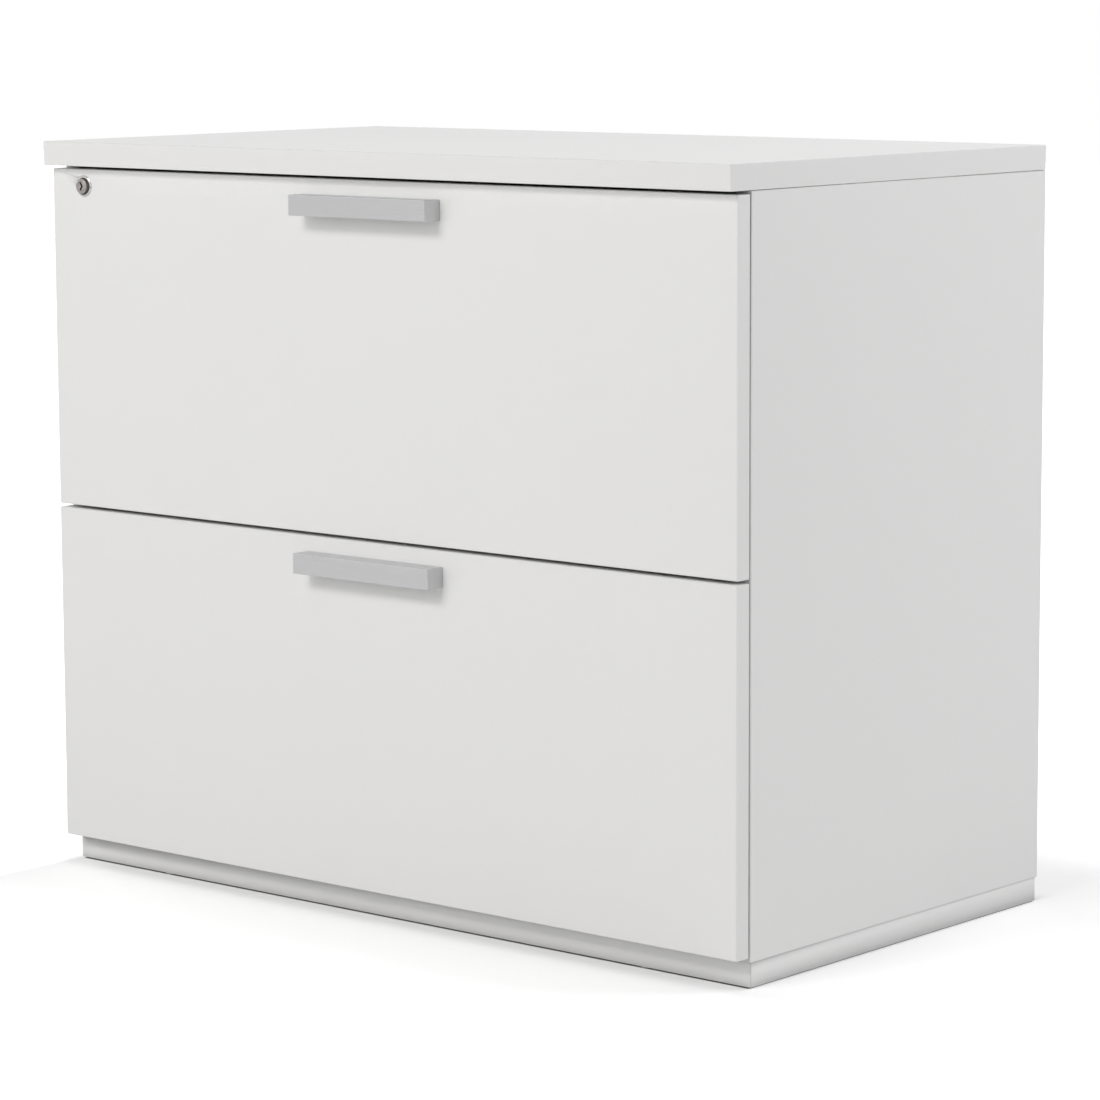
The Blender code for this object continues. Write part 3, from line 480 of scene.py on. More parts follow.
BACK_SCREWS = 6
BACK_SCREW_MARGIN = 0.045
BACK_SCREW_SCALE = 0.85
back_low, back_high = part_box("back_panel")
rail_low, rail_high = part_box("rear_top_rail")
floor_low, floor_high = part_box("floor_panel")
screw_span = back_high.x - back_low.x - 2 * BACK_SCREW_MARGIN
spots = []
for height in ((rail_low.z + rail_high.z) / 2, (floor_low.z + floor_high.z) / 2):
    for number in range(BACK_SCREWS):
        along = back_low.x + BACK_SCREW_MARGIN + screw_span * number / (BACK_SCREWS - 1)
        spots.append((along, back_high.y, height))
add_screws("back_panel_screws", pan_head, spots, (0.0, 1.0, 0.0), "cabinet", BACK_SCREW_SCALE)


# Cam covers. White plastic caps pressed over the cam fittings on the inner faces of the sides,
# where these hang from the top panel.
CAP_RADIUS = 0.0078
CAP_HEIGHT = 0.0009
CAP_DROP = 0.034
CAP_PLACES = (-0.15, 0.0, 0.13)
CAP_TONE = (0.74, 0.74, 0.73, 1.0)
cap_profile = [
    (0.0, 0.0), (CAP_RADIUS, 0.0), (CAP_RADIUS, CAP_HEIGHT * 0.35),
    (CAP_RADIUS * 0.95, CAP_HEIGHT * 0.8), (CAP_RADIUS * 0.86, CAP_HEIGHT),
    (CAP_RADIUS * 0.3, CAP_HEIGHT), (CAP_RADIUS * 0.22, CAP_HEIGHT * 0.7),
    (0.0, CAP_HEIGHT * 0.65),
]
cap = settle("cam_cap", turn_profile(cap_profile, 32))
white_plastic = plain_skin(
    "cap_plastic", 0.5, 0.00001, Tone=CAP_TONE, Clouds=0.01, Pearl_Scale=2600.0,
)
for side, sign in (("left", -1), ("right", 1)):
    low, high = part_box(side + "_side_panel")
    inner_x = high.x if sign < 0 else low.x
    bm = bmesh.new()
    for along in CAP_PLACES:
        set_down(bm, cap, (inner_x, along, high.z - CAP_DROP), (-sign, 0.0, 0.0))
    add_piece(side + "_cam_caps", bm, white_plastic, "cabinet")


# Plinth. Four boards in one sheet of white laminate folded round their mitred corners, so that no
# joint shows, set back under the fronts and screwed up into the floor panel from inside.
for node, across in (
    ("plinth_left", (1.0, 0.0, 0.0)), ("plinth_right", (1.0, 0.0, 0.0)),
    ("plinth_front", (0.0, 1.0, 0.0)), ("plinth_rear", (0.0, 1.0, 0.0)),
):
    dress(node, white_laminate(node, across, glue_line=0.0), crease=0.0)


# Glides. Discs of natural nylon nailed under the plinth, one near each corner, which keep the
# boards off the floor and are duller where they have slid.
NYLON_TONE = (0.60, 0.585, 0.54, 1.0)
nylon = plain_skin(
    "glide_plastic", 0.4, 0.00003,
    Tone=NYLON_TONE, Clouds=0.06, Pearl_Scale=1800.0, Roughness=0.5, Rubbing=0.3,
)
for row in ("front", "rear"):
    for side in ("left", "right"):
        dress("glide_" + row + "_" + side, nylon)


# Drawer fronts. The same white board as the top, banded on all four edges, with small nylon
# bumpers on the back that meet the edges of the sides.
BUMPER_RADIUS = 0.005
BUMPER_INSET = 0.010
BUMPER_DROP = 0.030
BUMPER_PLAY = 0.0003
side_front_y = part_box("left_side_panel")[0].y
for drawer in ("upper", "lower"):
    node = drawer + "_front"
    dress(node, white_laminate(node, (0.0, 1.0, 0.0)), crease=0.0)
    low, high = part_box(node)
    tall = side_front_y - high.y - BUMPER_PLAY
    bumper_profile = [
        (0.0, 0.0), (BUMPER_RADIUS, 0.0), (BUMPER_RADIUS, tall * 0.3),
        (BUMPER_RADIUS * 0.93, tall * 0.62), (BUMPER_RADIUS * 0.75, tall * 0.88),
        (BUMPER_RADIUS * 0.45, tall), (0.0, tall),
    ]
    bumper = settle("bumper", turn_profile(bumper_profile, 24))
    bm = bmesh.new()
    for x in (low.x + BUMPER_INSET, high.x - BUMPER_INSET):
        for z in (low.z + BUMPER_DROP, high.z - BUMPER_DROP):
            set_down(bm, bumper, (x, high.y, z), (0.0, 1.0, 0.0))
    add_piece(drawer + "_bumpers", bm, nylon, drawer + "_drawer")


# Handles. One zinc alloy casting each, satin chrome with fine lines along it: a bar on two feet,
# closed over the top by a thin web and hollow below for the fingers, held by two bolts that come
# through the drawer front from behind.
OVERLAP = 0.001
HANDLE_BAR = 0.008
HANDLE_WEB = 0.0025
HANDLE_FOOT = 0.012
HANDLE_CORNER = 0.0012
HANDLE_EDGE = 0.0005
HANDLE_BOLT_SCALE = 1.15
HANDLE_TONE = (0.57, 0.57, 0.58, 1.0)
HANDLE_LINES = (0.61, 0.61, 0.62, 1.0)


def arc_points(centre, radius, start, end, steps):
    """Points along an arc, with its angles in degrees."""
    angles = [math.radians(start + (end - start) * step / steps) for step in range(steps + 1)]
    return [
        (centre[0] + radius * math.cos(angle), centre[1] + radius * math.sin(angle))
        for angle in angles
    ]


def satin_chrome():
    """Chrome dulled by fine lines that run along the bar."""
    material, tree, shader = begin_material("handle_satin_chrome", {"Metallic": 0.85})
    brushed = use_effect(tree, "drawn_lines", Stretch=(25.0, 3000.0, 3000.0), Detail=4.0)
    tone = blend_tones(tree, remap(tree, brushed["Line"], 0.3, 0.7), HANDLE_TONE, HANDLE_LINES)
    rough = reckon(tree, "MULTIPLY_ADD", brushed["Line"], 0.10, 0.38)
    join_up(tree, shader, Base_Color=tone, Roughness=rough)
    raise_bump(tree, shader, brushed["Line"], 0.000008, 0.5)
    return material


handle_metal = satin_chrome()
for drawer in ("upper", "lower"):
    low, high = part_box(drawer + "_handle")
    inside_y = low.y + HANDLE_BAR
    inner_x = high.x - HANDLE_FOOT
    corner = HANDLE_CORNER
    outline = [(low.x, high.y)]
    outline += arc_points((low.x + corner, low.y + corner), corner, 180, 270, 10)
    outline += arc_points((high.x - corner, low.y + corner), corner, 270, 360, 10)
    outline += [(high.x, high.y)]
    bm = push_outline(outline, low.z, high.z)
    rims = [edge for edge in bm.edges if abs(edge.verts[0].co.z - edge.verts[1].co.z) < 1e-6]
    bmesh.ops.bevel(
        bm, geom=rims, offset=HANDLE_EDGE, offset_type="OFFSET",
        segments=3, profile=0.5, affect="EDGES",
    )
    hollow = [(inner_x, high.y + OVERLAP)]
    hollow += arc_points((inner_x - corner, inside_y + corner), corner, 0, -90, 8)
    hollow += arc_points((-inner_x + corner, inside_y + corner), corner, 270, 180, 8)
    hollow += [(-inner_x, high.y + OVERLAP)]
    bm = carve(bm, push_outline(hollow, low.z - OVERLAP, high.z - HANDLE_WEB), "DIFFERENCE")
    body = drawer + "_drawer"
    handle = add_piece(drawer + "_bar_handle", bm, handle_metal, body)
    flat_faces = handle.modifiers.new("flat_faces", "WEIGHTED_NORMAL")
    flat_faces.keep_sharp = True
    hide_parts(drawer + "_handle")
    back_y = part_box(drawer + "_front")[1].y
    middle_z = (low.z + high.z) / 2
    bolts = [(sign * (high.x - HANDLE_FOOT / 2), back_y, middle_z) for sign in (-1, 1)]
    name = drawer + "_handle_bolts"
    add_screws(name, pan_head, bolts, (0.0, 1.0, 0.0), body, HANDLE_BOLT_SCALE)


# Lock. A chrome flange on the upper front, with the cylinder's nose standing proud of it, and in
# it the plug with a chevron keyway, whose end behind the front carries a crank with its pin.
LOCK_STEPS = 72
NOSE_RADIUS = 0.0077
NOSE_FOOT_RADIUS = 0.0085
NOSE_EDGE = 0.0005
FLANGE_HEIGHT = 0.0014
FLANGE_GROOVE = 0.0004
FLANGE_DOME = 0.8
PLUG_RADIUS = 0.0048
PLUG_CLEARANCE = 0.0002
PLUG_SUNK = 0.0003
PLUG_EDGE = 0.0003
BARREL_RADIUS = 0.008
KEYWAY_HEIGHT = 0.0080
KEYWAY_WIDTH = 0.0026
KEYWAY_BEND = 0.0026
KEYWAY_DEPTH = 0.009
KEYWAY_SHADE = (0.00002, 0.0002)
PLUG_END_PLAY = 0.0003
CRANK_PIN_RADIUS = 0.002
CRANK_THICKNESS = 0.0025
TURNING_PITCH = 0.00028
SLOPE_BLUR = 0.0003
FLANGE_TONE = (0.60, 0.59, 0.58, 1.0)
NOSE_TONE = (0.50, 0.472, 0.455, 1.0)
NOSE_CLOUDS = (0.44, 0.412, 0.395, 1.0)
PAINTED_SLOPE_SHADE_TONE = (0.12, 0.105, 0.097, 1.0)
PLUG_TONE = (0.54, 0.505, 0.485, 1.0)
PLUG_CLOUDS = (0.48, 0.445, 0.425, 1.0)
PAINTED_KEYWAY_SHADE_TONE = (0.018, 0.015, 0.014, 1.0)


def off_axis(tree, centre_x, centre_z):
    """How far a point of the surface is from the lock's axis."""
    flat = reckon_vector(tree, "MULTIPLY", object_place(tree), (1.0, 0.0, 1.0))
    return reckon_vector(
        tree, "LENGTH", reckon_vector(tree, "SUBTRACT", flat, (centre_x, 0.0, centre_z)),
    )


def lock_chrome(centre_x, centre_z):
    """Bright flange and duller turned nose, with painted shade that darkens the slope between."""
    material, tree, shader = begin_material("lock_chrome", {"Metallic": 1.0})
    polish = use_effect(tree, "drawn_lines", Stretch=(900.0, 900.0, 260.0), Detail=5.0)
    radius = off_axis(tree, centre_x, centre_z)
    on_flange = remap(tree, radius, NOSE_FOOT_RADIUS - 0.0001, NOSE_FOOT_RADIUS + FLANGE_GROOVE)
    on_painted_slope_shade = remap(tree, radius, NOSE_RADIUS - SLOPE_BLUR, NOSE_RADIUS + SLOPE_BLUR)
    turned = reckon(tree, "SINE", reckon(tree, "MULTIPLY", radius, 2 * math.pi / TURNING_PITCH))
    nose = blend_tones(tree, polish["Cloud"], NOSE_TONE, NOSE_CLOUDS)
    # Painted shade: the nose's slope is painted almost black, standing for its dark side wall.
    with_painted_slope_shade = blend_tones(tree, on_painted_slope_shade, nose, PAINTED_SLOPE_SHADE_TONE)
    tone = blend_tones(tree, on_flange, with_painted_slope_shade, FLANGE_TONE)
    least_rough = reckon(tree, "MULTIPLY_ADD", on_flange, -0.18, 0.28)
    rough = reckon(tree, "MULTIPLY_ADD", polish["Line"], 0.12, least_rough)
    relief = reckon(tree, "MULTIPLY_ADD", turned, 0.3, polish["Line"])
    join_up(tree, shader, Base_Color=tone, Roughness=rough)
    raise_bump(tree, shader, relief, 0.000006, 0.4)
    return material


def lock_nickel(centre_x, front_y, centre_z):
    """Satin nickel on the plug's face, and painted shade that darkens the keyway behind it."""
    material, tree, shader = begin_material("lock_nickel", {"Metallic": 1.0})
    polish = use_effect(tree, "drawn_lines", Stretch=(900.0, 260.0, 900.0), Detail=5.0)
    radius = off_axis(tree, centre_x, centre_z)
    _, along, _ = take_apart(tree, object_place(tree))
    depth = reckon(tree, "SUBTRACT", along, front_y)
    near_axis = reckon(tree, "LESS_THAN", radius, PLUG_RADIUS - PLUG_EDGE)
    before_end = reckon(tree, "LESS_THAN", depth, KEYWAY_DEPTH + PLUG_EDGE)
    in_keyway = reckon(tree, "MULTIPLY", near_axis, before_end)
    # Painted shade: from just behind the plug's face the keyway is darkened and made matt.
    inside = reckon(tree, "MULTIPLY", remap(tree, depth, *KEYWAY_SHADE), in_keyway)
    face = blend_tones(tree, polish["Cloud"], PLUG_TONE, PLUG_CLOUDS)
    tone = blend_tones(tree, inside, face, PAINTED_KEYWAY_SHADE_TONE)
    least_rough = reckon(tree, "MULTIPLY_ADD", inside, 0.5, 0.26)
    rough = reckon(tree, "MULTIPLY_ADD", polish["Line"], 0.16, least_rough)
    metal_outside_painted_shade = reckon(tree, "SUBTRACT", 1.0, inside)
    join_up(tree, shader, Base_Color=tone, Roughness=rough, Metallic=metal_outside_painted_shade)
    raise_bump(tree, shader, polish["Line"], 0.000006, 0.4)
    return material


def face_forward(bm, centre_x, centre_z):
    """Turns a bmesh drawn round the Z axis to stand along Y at the lock's centre."""
    for vert in bm.verts:
        x, y, z = vert.co
        vert.co = (centre_x + x, z, centre_z - y)
    bmesh.ops.recalc_face_normals(bm, faces=bm.faces)
    return bm


low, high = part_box("lock_housing")
lock_x = (low.x + high.x) / 2
lock_z = (low.z + high.z) / 2
flange_radius = (high.x - low.x) / 2
face_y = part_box("upper_front")[0].y
plug_low, plug_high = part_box("lock_plug")
plug_bore = PLUG_RADIUS + PLUG_CLEARANCE
nose_y = low.y
flange_y = face_y - FLANGE_HEIGHT
profile = [(plug_bore, high.y), (plug_bore, nose_y + PLUG_EDGE), (plug_bore + PLUG_EDGE, nose_y)]
profile += arc_points((NOSE_RADIUS - NOSE_EDGE, nose_y + NOSE_EDGE), NOSE_EDGE, -90, 0, 6)
profile.append((NOSE_FOOT_RADIUS, flange_y + FLANGE_GROOVE))
dome_start = NOSE_FOOT_RADIUS + FLANGE_GROOVE
for radius, height in arc_points((0.0, 0.0), 1.0, 90, 0, 12):
    across = dome_start + (flange_radius - dome_start) * radius
    profile.append((across, flange_y + FLANGE_HEIGHT * FLANGE_DOME * (1.0 - height)))
profile += [(flange_radius, face_y), (BARREL_RADIUS, face_y), (BARREL_RADIUS, high.y)]
housing_bm = face_forward(turn_profile(profile, LOCK_STEPS), lock_x, lock_z)
chrome = lock_chrome(lock_x, lock_z)
housing = add_piece("lock_flange_and_nose", housing_bm, chrome, "upper_drawer")
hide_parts("lock_housing")

plug_front = nose_y + PLUG_SUNK
plug_end = high.y + PLUG_END_PLAY
plug_profile = [
    (0.0, plug_front), (PLUG_RADIUS - PLUG_EDGE, plug_front),
    (PLUG_RADIUS, plug_front + PLUG_EDGE),
    (PLUG_RADIUS, plug_end + OVERLAP), (0.0, plug_end + OVERLAP),
]
plug_bm = turn_profile(plug_profile, LOCK_STEPS)
half_high = KEYWAY_HEIGHT / 2
half_bend = KEYWAY_BEND / 2
half_wide = KEYWAY_WIDTH / 2
chevron = [(-half_bend, -half_high), (half_bend, 0.0), (-half_bend, half_high)]
keyway = [(x - half_wide, y) for x, y in chevron] + [(x + half_wide, y) for x, y in chevron[::-1]]
keyway_cutter = push_outline(keyway, plug_front - OVERLAP, plug_front + KEYWAY_DEPTH)
plug_bm = carve(plug_bm, keyway_cutter, "DIFFERENCE")
tip = 2 * CRANK_PIN_RADIUS
pin_x = plug_low.x + tip - lock_x
pin_y = lock_z - plug_low.z - tip
throw = math.hypot(pin_x, pin_y)
away = math.degrees(math.atan2(pin_y, pin_x))
lean = math.degrees(math.acos((BARREL_RADIUS - tip) / throw))
crank = arc_points((0.0, 0.0), BARREL_RADIUS, away + lean, away + 360 - lean, 40)
crank += arc_points((pin_x, pin_y), tip, away - lean, away + lean, 16)
plug_bm = carve(plug_bm, push_outline(crank, plug_end, plug_end + CRANK_THICKNESS), "UNION")
pin = arc_points((pin_x, pin_y), CRANK_PIN_RADIUS, 0, 345, 23)
plug_bm = carve(plug_bm, push_outline(pin, plug_end + OVERLAP, plug_high.y), "UNION")
nickel = lock_nickel(lock_x, plug_front, lock_z)
plug_bm = face_forward(plug_bm, lock_x, lock_z)
plug = add_piece("lock_key_plug", plug_bm, nickel, "lock_plug")
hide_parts("lock_plug")
dress("lock_nut", zinc_plate("nut_zinc", (700.0, 250.0, 700.0)), rounding=0.0002)


# Drawer boxes. Thin board in a light laminate, grooved for the floor, screwed together at the
# corners through the sides and to the front through the inner front board.
BOX_TONE = (0.70, 0.70, 0.69, 1.0)
BOX_SCREW_RISES = (0.045, 0.225)
BOX_SCREW_SCALE = 1.5
FRONT_SCREW_PLACES = (-0.30, 0.0, 0.30)
FRONT_SCREW_RISES = (0.07, 0.20)
FRONT_SCREW_SCALE = 1.2
light_board = plain_skin(
    "box_laminate", 0.4, 0.000018,
    Tone=BOX_TONE, Clouds=0.025, Roughness=0.46, Rubbing=0.16,
)
for drawer in ("upper", "lower"):
    body = drawer + "_drawer"
    for board in ("left", "right", "front", "back", "floor"):
        dress(drawer + "_box_" + board, light_board, rounding=0.0005, crease=0.0)
    front_low, front_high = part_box(drawer + "_box_front")
    spots = []
    for x in FRONT_SCREW_PLACES:
        for rise in FRONT_SCREW_RISES:
            spots.append((x, front_high.y, front_low.z + rise))
    name = drawer + "_front_screws"
    add_screws(name, pan_head, spots, (0.0, 1.0, 0.0), body, FRONT_SCREW_SCALE)
    back_low, back_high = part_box(drawer + "_box_back")
    for side, sign in (("left", -1), ("right", 1)):
        side_low, side_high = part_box(drawer + "_box_" + side)
        outer_x = side_low.x if sign < 0 else side_high.x
        spots = []
        for y in ((front_low.y + front_high.y) / 2, (back_low.y + back_high.y) / 2):
            for rise in BOX_SCREW_RISES:
                spots.append((outer_x, y, front_low.z + rise))
        name = drawer + "_box_" + side + "_screws"
        add_screws(name, flush_head, spots, (sign, 0.0, 0.0), body, BOX_SCREW_SCALE)


# File rails. Black painted steel strips in slots of the box sides, on which the hooks of
# hanging folders run, so that their top edges are rubbed.
RAIL_BLACK = (0.018, 0.018, 0.019, 1.0)
RAIL_RUBBED = (0.16, 0.16, 0.16, 1.0)


def black_paint():
    """Black powder paint with its fine orange peel, thin and grey along the top edge."""
    material, tree, shader = begin_material("file_rail_paint", {"Specular IOR Level": 0.5})
    place = object_place(tree)
    scuffs = noise(tree, place, 120.0, 6.0)
    _, _, upward = take_apart(tree, add_node(tree, "ShaderNodeNewGeometry").outputs["Normal"])
    on_top = reckon(tree, "GREATER_THAN", upward, 0.4)
    worn = reckon(tree, "MULTIPLY", on_top, remap(tree, scuffs, 0.45, 0.62, 0.0, 0.5))
    tone = blend_tones(tree, worn, RAIL_BLACK, RAIL_RUBBED)
    rough = reckon(tree, "MULTIPLY_ADD", scuffs, 0.16, 0.30)
    join_up(tree, shader, Base_Color=tone, Roughness=rough)
    raise_bump(tree, shader, noise(tree, place, 750.0, 2.0), 0.00004, 0.5)
    return material


rail_paint = black_paint()
for drawer in ("upper", "lower"):
    for row in ("front", "rear"):
        dress(drawer + "_file_rail_" + row, rail_paint)


# Ball slides. Three members rolled from zinc plated strip, one inside the other, with grease in
# the races, and flush screws through the outer two into the side panel and the drawer box.
SLIDE_SCREWS = (-0.160, 0.0, 0.160)
MEMBER_STEEL = 0.0012
GREASE_TONE = (0.30, 0.27, 0.21, 1.0)
BALL_TONE = (0.66, 0.66, 0.67, 1.0)
STRIP_TONE = (0.59, 0.59, 0.60, 1.0)


def slide_zinc(drawer):
    """Zinc plate of one drawer's slides, with a film of grease along both rows of balls."""
    material, tree, shader = begin_material(drawer + "_slide_zinc", {"Metallic": 1.0})
    low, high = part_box(drawer + "_slide_left_cabinet_member")
    _, _, height = take_apart(tree, object_place(tree))
    from_middle = reckon(tree, "ABSOLUTE", reckon(tree, "SUBTRACT", height, (low.z + high.z) / 2))
    reach = (high.z - low.z) / 2
    rolled = use_effect(tree, "drawn_lines", Stretch=(2600.0, 22.0, 2600.0))
    film = remap(tree, from_middle, reach * 0.62, reach * 0.80, 0.0, 0.5)
    smear = reckon(tree, "MULTIPLY", film, remap(tree, rolled["Cloud"], 0.42, 0.58, 0.35, 1.0))
    bright = blend_tones(tree, remap(tree, rolled["Cloud"], 0.38, 0.62), ZINC_COOL, ZINC_WARM)
    tone = blend_tones(tree, smear, bright, GREASE_TONE)
    rough = reckon(tree, "MULTIPLY_ADD", rolled["Line"], 0.16, 0.22)
    join_up(tree, shader, Base_Color=tone, Roughness=rough)
    raise_bump(tree, shader, rolled["Line"], 0.000012, 0.5)
    return material


def cage_steel():
    """Polished balls and pressed strip, with the faint clouds and hair scratches of tumbling."""
    material, tree, shader = begin_material("ball_cage_steel", {"Metallic": 1.0})
    polish = use_effect(tree, "drawn_lines", Stretch=(900.0, 900.0, 260.0), Detail=5.0)
    coloured = blend_tones(tree, remap(tree, polish["Cloud"], 0.35, 0.65), BALL_TONE, STRIP_TONE)
    rough = reckon(tree, "MULTIPLY_ADD", polish["Line"], 0.12, 0.14)
    join_up(tree, shader, Base_Color=coloured, Roughness=rough)
    raise_bump(tree, shader, polish["Line"], 0.000006, 0.4)
    return material


polished_steel = cage_steel()
for drawer in ("upper", "lower"):
    member_zinc = slide_zinc(drawer)
    for side, sign in (("left", -1), ("right", 1)):
        label = drawer + "_slide_" + side
        for member in ("cabinet_member", "middle_member", "drawer_member"):
            dress(label + "_" + member, member_zinc)
        for cage in ("outer_cage", "inner_cage"):
            dress(label + "_" + cage, polished_steel)
        for member, body in (("cabinet_member", "cabinet"), ("drawer_member", drawer + "_drawer")):
            low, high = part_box(label + "_" + member)
            centre = (low + high) / 2
            if member == "cabinet_member":
                web_x = (high.x if sign > 0 else low.x) - sign * MEMBER_STEEL
                way = -sign
            else:
                web_x = low.x if sign > 0 else high.x
                way = sign
            spots = [(web_x, centre.y + along, centre.z) for along in SLIDE_SCREWS]
            add_screws(label + "_" + member + "_screws", flush_head, spots, (way, 0.0, 0.0), body)


# Lock bar, guides and catches. Zinc plated steel: the bar runs in a groove of the left side
# behind two screwed guides, and its pins rise into the catches on the drawers.
GUIDE_SCREW_SCALE = 0.85
GUIDE_SCREW_EDGE = 0.0012
CATCH_SCREW_SCALE = 1.3
CATCH_SCREW_DROP = 0.0048
CATCH_SCREW_SHIFT = 0.007
bar_zinc = zinc_plate("lock_bar_zinc", (2600.0, 2600.0, 24.0))
catch_zinc = zinc_plate("lock_catch_zinc", (500.0, 500.0, 500.0), 0.34)
dress("lock_bar", bar_zinc)
for level in ("upper", "lower"):
    guide = "lock_bar_guide_" + level
    dress(guide, catch_zinc)
    low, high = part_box(guide)
    margin = PAN_RADIUS * GUIDE_SCREW_SCALE + GUIDE_SCREW_EDGE
    spots = [(high.x, y, (low.z + high.z) / 2) for y in (low.y + margin, high.y - margin)]
    add_screws(guide + "_screws", pan_head, spots, (1.0, 0.0, 0.0), "cabinet", GUIDE_SCREW_SCALE)
    catch = level + "_lock_catch"
    dress(catch, catch_zinc, rounding=0.0003)
    low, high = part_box(catch)
    middle_y = (low.y + high.y) / 2
    along = (middle_y - CATCH_SCREW_SHIFT, middle_y + CATCH_SCREW_SHIFT)
    spots = [(low.x, y, high.z - CATCH_SCREW_DROP) for y in along]
    name = catch + "_screws"
    add_screws(name, flush_head, spots, (-1.0, 0.0, 0.0), level + "_drawer", CATCH_SCREW_SCALE)


# Floor and light. A white studio floor that keeps the cabinet's shadow, and is lifted to full
# white by a glow that grows away from the plinth; where the glow is weaker near the plinth, it
# paints shade over the real shadow there. A key softbox stands high in front, a nearer one lower,
# and four more on the right, on the left, behind and overhead.
FLOOR_REACH = 14.0
FLOOR_WHITE = 0.80
PAINTED_SHADE_UNDER_CABINET = 0.25
SIDE_CREEP = 0.0025

# The glow's strengths, where 1 is white: at the plinth, added on its left, on its right from
# front to back, near and far. The reaches are where it changes, in metres from the plinth. The
# weaker glow near the plinth and on its right paints shade, and the extra glow on its left
# paints light over the real shadow.
GLOW_EDGE = 0.13
GLOW_LEFT = 0.22
GLOW_RIGHT = (0.245, 0.325)
GLOW_NEAR = 0.32
GLOW_FAR = 1.0
NEAR_REACH = 0.040
LEFT_REACH = 0.012
RIGHT_REACH = (0.02, 0.12)
RIGHT_DEPTH = (-0.10, 0.24)
RIGHT_END = 0.06
FAR_REACH = (0.10, 0.45)
MIRRORED_GLOW = 0.1

AMBIENT = (0.26, 0.26, 0.264, 1.0)
FULL_WHITE = (1.0, 1.0, 1.0, 1.0)


def white_share(tree, mirrored):
    """1 for what is seen, also through glass, a set share of it for what is mirrored, else 0."""
    path = add_node(tree, "ShaderNodeLightPath").outputs
    seen = reckon(tree, "MAXIMUM", path["Is Camera Ray"], path["Is Transmission Ray"])
    in_mirror = reckon(tree, "MULTIPLY", path["Is Glossy Ray"], mirrored)
    return reckon(tree, "MAXIMUM", seen, in_mirror)


floor_bm = bmesh.new()
bmesh.ops.create_grid(floor_bm, x_segments=8, y_segments=8, size=FLOOR_REACH)
floor_mesh = settle("studio_floor", floor_bm)
studio_floor = set_up("studio_floor", floor_mesh)
floor_paint = bpy.data.materials.new("studio_floor")
floor_paint.use_nodes = True
tree = floor_paint.node_tree
tree.nodes.clear()
plinth_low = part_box("plinth_left")[0]
plinth_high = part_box("plinth_right")[1]
stand_middle = (plinth_low + plinth_high) / 2
stand_half = (plinth_high - plinth_low) / 2 - Vector((SIDE_CREEP, 0.0, 0.0))
middle = (stand_middle.x, stand_middle.y, 0.0)
from_middle = reckon_vector(tree, "SUBTRACT", object_place(tree), middle)
either_way = reckon_vector(tree, "ABSOLUTE", from_middle)
past_edge = reckon_vector(tree, "SUBTRACT", either_way, tuple(stand_half))
outside = reckon_vector(tree, "MAXIMUM", past_edge, (0.0, 0.0, 0.0))
away = reckon_vector(tree, "LENGTH", outside)
uncovered = reckon(tree, "GREATER_THAN", away, 0.0)
# Painted shade: the glow is weakest at the plinth and grows over the near reach.
near_glow = remap(tree, away, 0.0, NEAR_REACH, GLOW_EDGE, GLOW_NEAR)
far_glow = remap(tree, away, *FAR_REACH, 0.0, GLOW_FAR - GLOW_NEAR)
across, deep, _ = take_apart(tree, from_middle)
beside = reckon(tree, "SUBTRACT", across, stand_half.x)
left_glow = remap(tree, across, -stand_half.x - LEFT_REACH, -stand_half.x, GLOW_LEFT, 0.0)
right_edge = remap(tree, deep, *RIGHT_DEPTH, *GLOW_RIGHT)
right_glow = remap(tree, beside, *RIGHT_REACH, right_edge, GLOW_NEAR)
_, before_front, _ = take_apart(tree, outside)
in_line = remap(tree, before_front, 0.0, RIGHT_END, 1.0, 0.0)
on_right = reckon(tree, "MULTIPLY", reckon(tree, "GREATER_THAN", beside, 0.0), in_line)
less_glow = reckon(tree, "SUBTRACT", right_glow, near_glow)
edge_glow = reckon(tree, "MULTIPLY_ADD", less_glow, on_right, near_glow)
open_glow = reckon(tree, "ADD", reckon(tree, "ADD", edge_glow, far_glow), left_glow)
fade = reckon(tree, "MULTIPLY", open_glow, uncovered)
# Painted shade: under the cabinet the floor's white is darkened to a quarter, so the slit under
# the plinth reads dark.
painted_shade_under_cabinet_tone = (FLOOR_WHITE * PAINTED_SHADE_UNDER_CABINET,) * 3 + (1.0,)
floor_tone = blend_tones(tree, uncovered, painted_shade_under_cabinet_tone, (FLOOR_WHITE,) * 3 + (1.0,))
matt = add_node(tree, "ShaderNodeBsdfDiffuse", {"Color": floor_tone}).outputs[0]
glow = add_node(tree, "ShaderNodeEmission", {"Color": FULL_WHITE, "Strength": fade}).outputs[0]
lifted = add_node(tree, "ShaderNodeAddShader", {0: matt, 1: glow}).outputs[0]
glow_share = white_share(tree, MIRRORED_GLOW)
shown = add_node(tree, "ShaderNodeMixShader", {0: glow_share, 1: matt, 2: lifted})
add_node(tree, "ShaderNodeOutputMaterial", {"Surface": shown.outputs[0]})
floor_mesh.materials.append(floor_paint)

world = bpy.data.worlds.new("studio")
bpy.context.scene.world = world
world.use_nodes = True
tree = world.node_tree
tree.nodes.clear()
room = add_node(tree, "ShaderNodeBackground", {"Color": AMBIENT, "Strength": 1.0}).outputs[0]
white = add_node(tree, "ShaderNodeBackground", {"Color": FULL_WHITE, "Strength": 1.0}).outputs[0]
room_share = white_share(tree, 1.0)
both = add_node(tree, "ShaderNodeMixShader", {0: room_share, 1: room, 2: white})
add_node(tree, "ShaderNodeOutputWorld", {"Surface": both.outputs[0]})


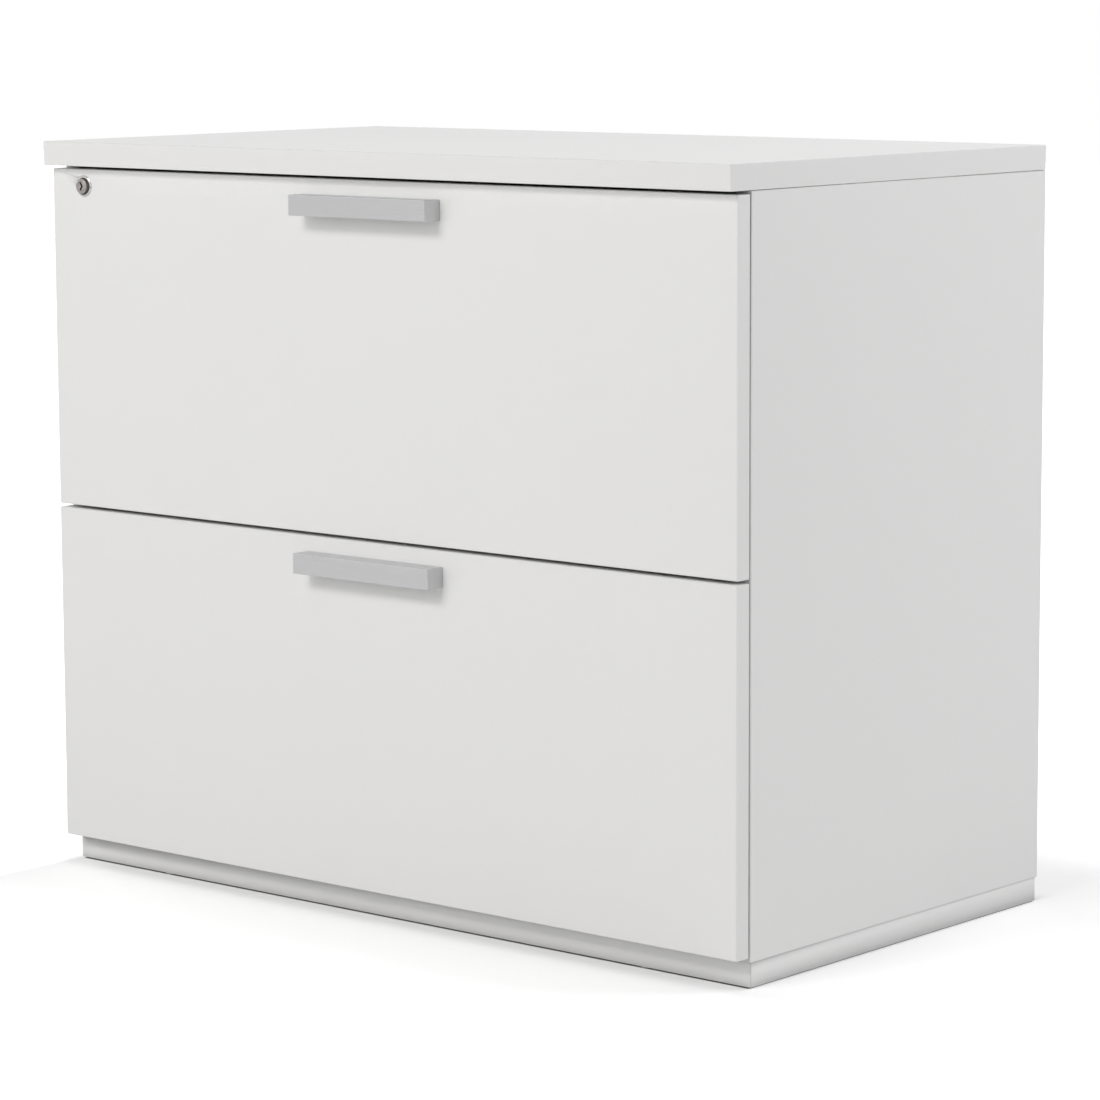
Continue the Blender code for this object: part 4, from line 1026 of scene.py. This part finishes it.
def add_softbox(name, place, aim, size, power, tone, mirrored=True):
    """A rectangular lamp that points at the cabinet, and may be kept out of its reflections."""
    lamp = bpy.data.lights.new(name, "AREA")
    lamp.shape = "RECTANGLE"
    lamp.size, lamp.size_y = size
    lamp.energy = power
    lamp.color = tone
    softbox = set_up(name + "_softbox", lamp)
    softbox.location = place
    softbox.rotation_euler = (Vector(aim) - Vector(place)).to_track_quat("-Z", "Y").to_euler()
    softbox.visible_glossy = mirrored


WARM_WHITE = (1.0, 0.99, 0.975)
PLAIN_WHITE = (1.0, 1.0, 1.0)
add_softbox("key", (-0.2, -5.1, 4.15), (0.0, -0.1, 0.4), (3.2, 1.3), 141.0, WARM_WHITE)
add_softbox("front", (-0.9, -3.0, 1.25), (0.0, -0.1, 0.4), (2.4, 1.8), 21.0, WARM_WHITE, False)
add_softbox("right", (3.6, 0.0, 1.5), (0.0, 0.0, 0.4), (1.8, 1.8), 16.5, PLAIN_WHITE)
add_softbox("left", (-3.6, 0.25, 1.7), (0.0, 0.0, 0.4), (1.8, 1.8), 34.0, PLAIN_WHITE, False)
add_softbox("rear", (2.6, 2.2, 2.6), (0.0, 0.0, 0.7), (2.0, 1.8), 55.0, PLAIN_WHITE, False)
add_softbox("overhead", (1.3, 0.9, 3.0), (0.3, 0.1, 0.7), (1.2, 1.2), 6.0, PLAIN_WHITE, False)


# Camera. The photograph's own view, from the front right and a little above the top panel. It
# was fitted to the carcass edges, the gaps, the handles and the plinth.
CAMERA_PLACE = (2.7413, -3.1723, 0.9427)
CAMERA_AIM = (0.0367, -0.0129, 0.3565)
CAMERA_ROLL = -0.26
CAMERA_LENS = 133.67
SENSOR_WIDTH = 36.0
camera = bpy.data.cameras.new("studio_camera")
camera.lens = CAMERA_LENS
camera.sensor_width = SENSOR_WIDTH
camera.clip_start = 0.05
camera_stand = set_up("studio_camera", camera)
camera_stand.location = CAMERA_PLACE
sight = Vector(CAMERA_AIM) - Vector(CAMERA_PLACE)
camera_stand.rotation_euler = sight.to_track_quat("-Z", "Y").to_euler()
camera_stand.rotation_euler.rotate_axis("Z", math.radians(CAMERA_ROLL))
bpy.context.scene.camera = camera_stand
bpy.context.scene.view_settings.view_transform = "Standard"
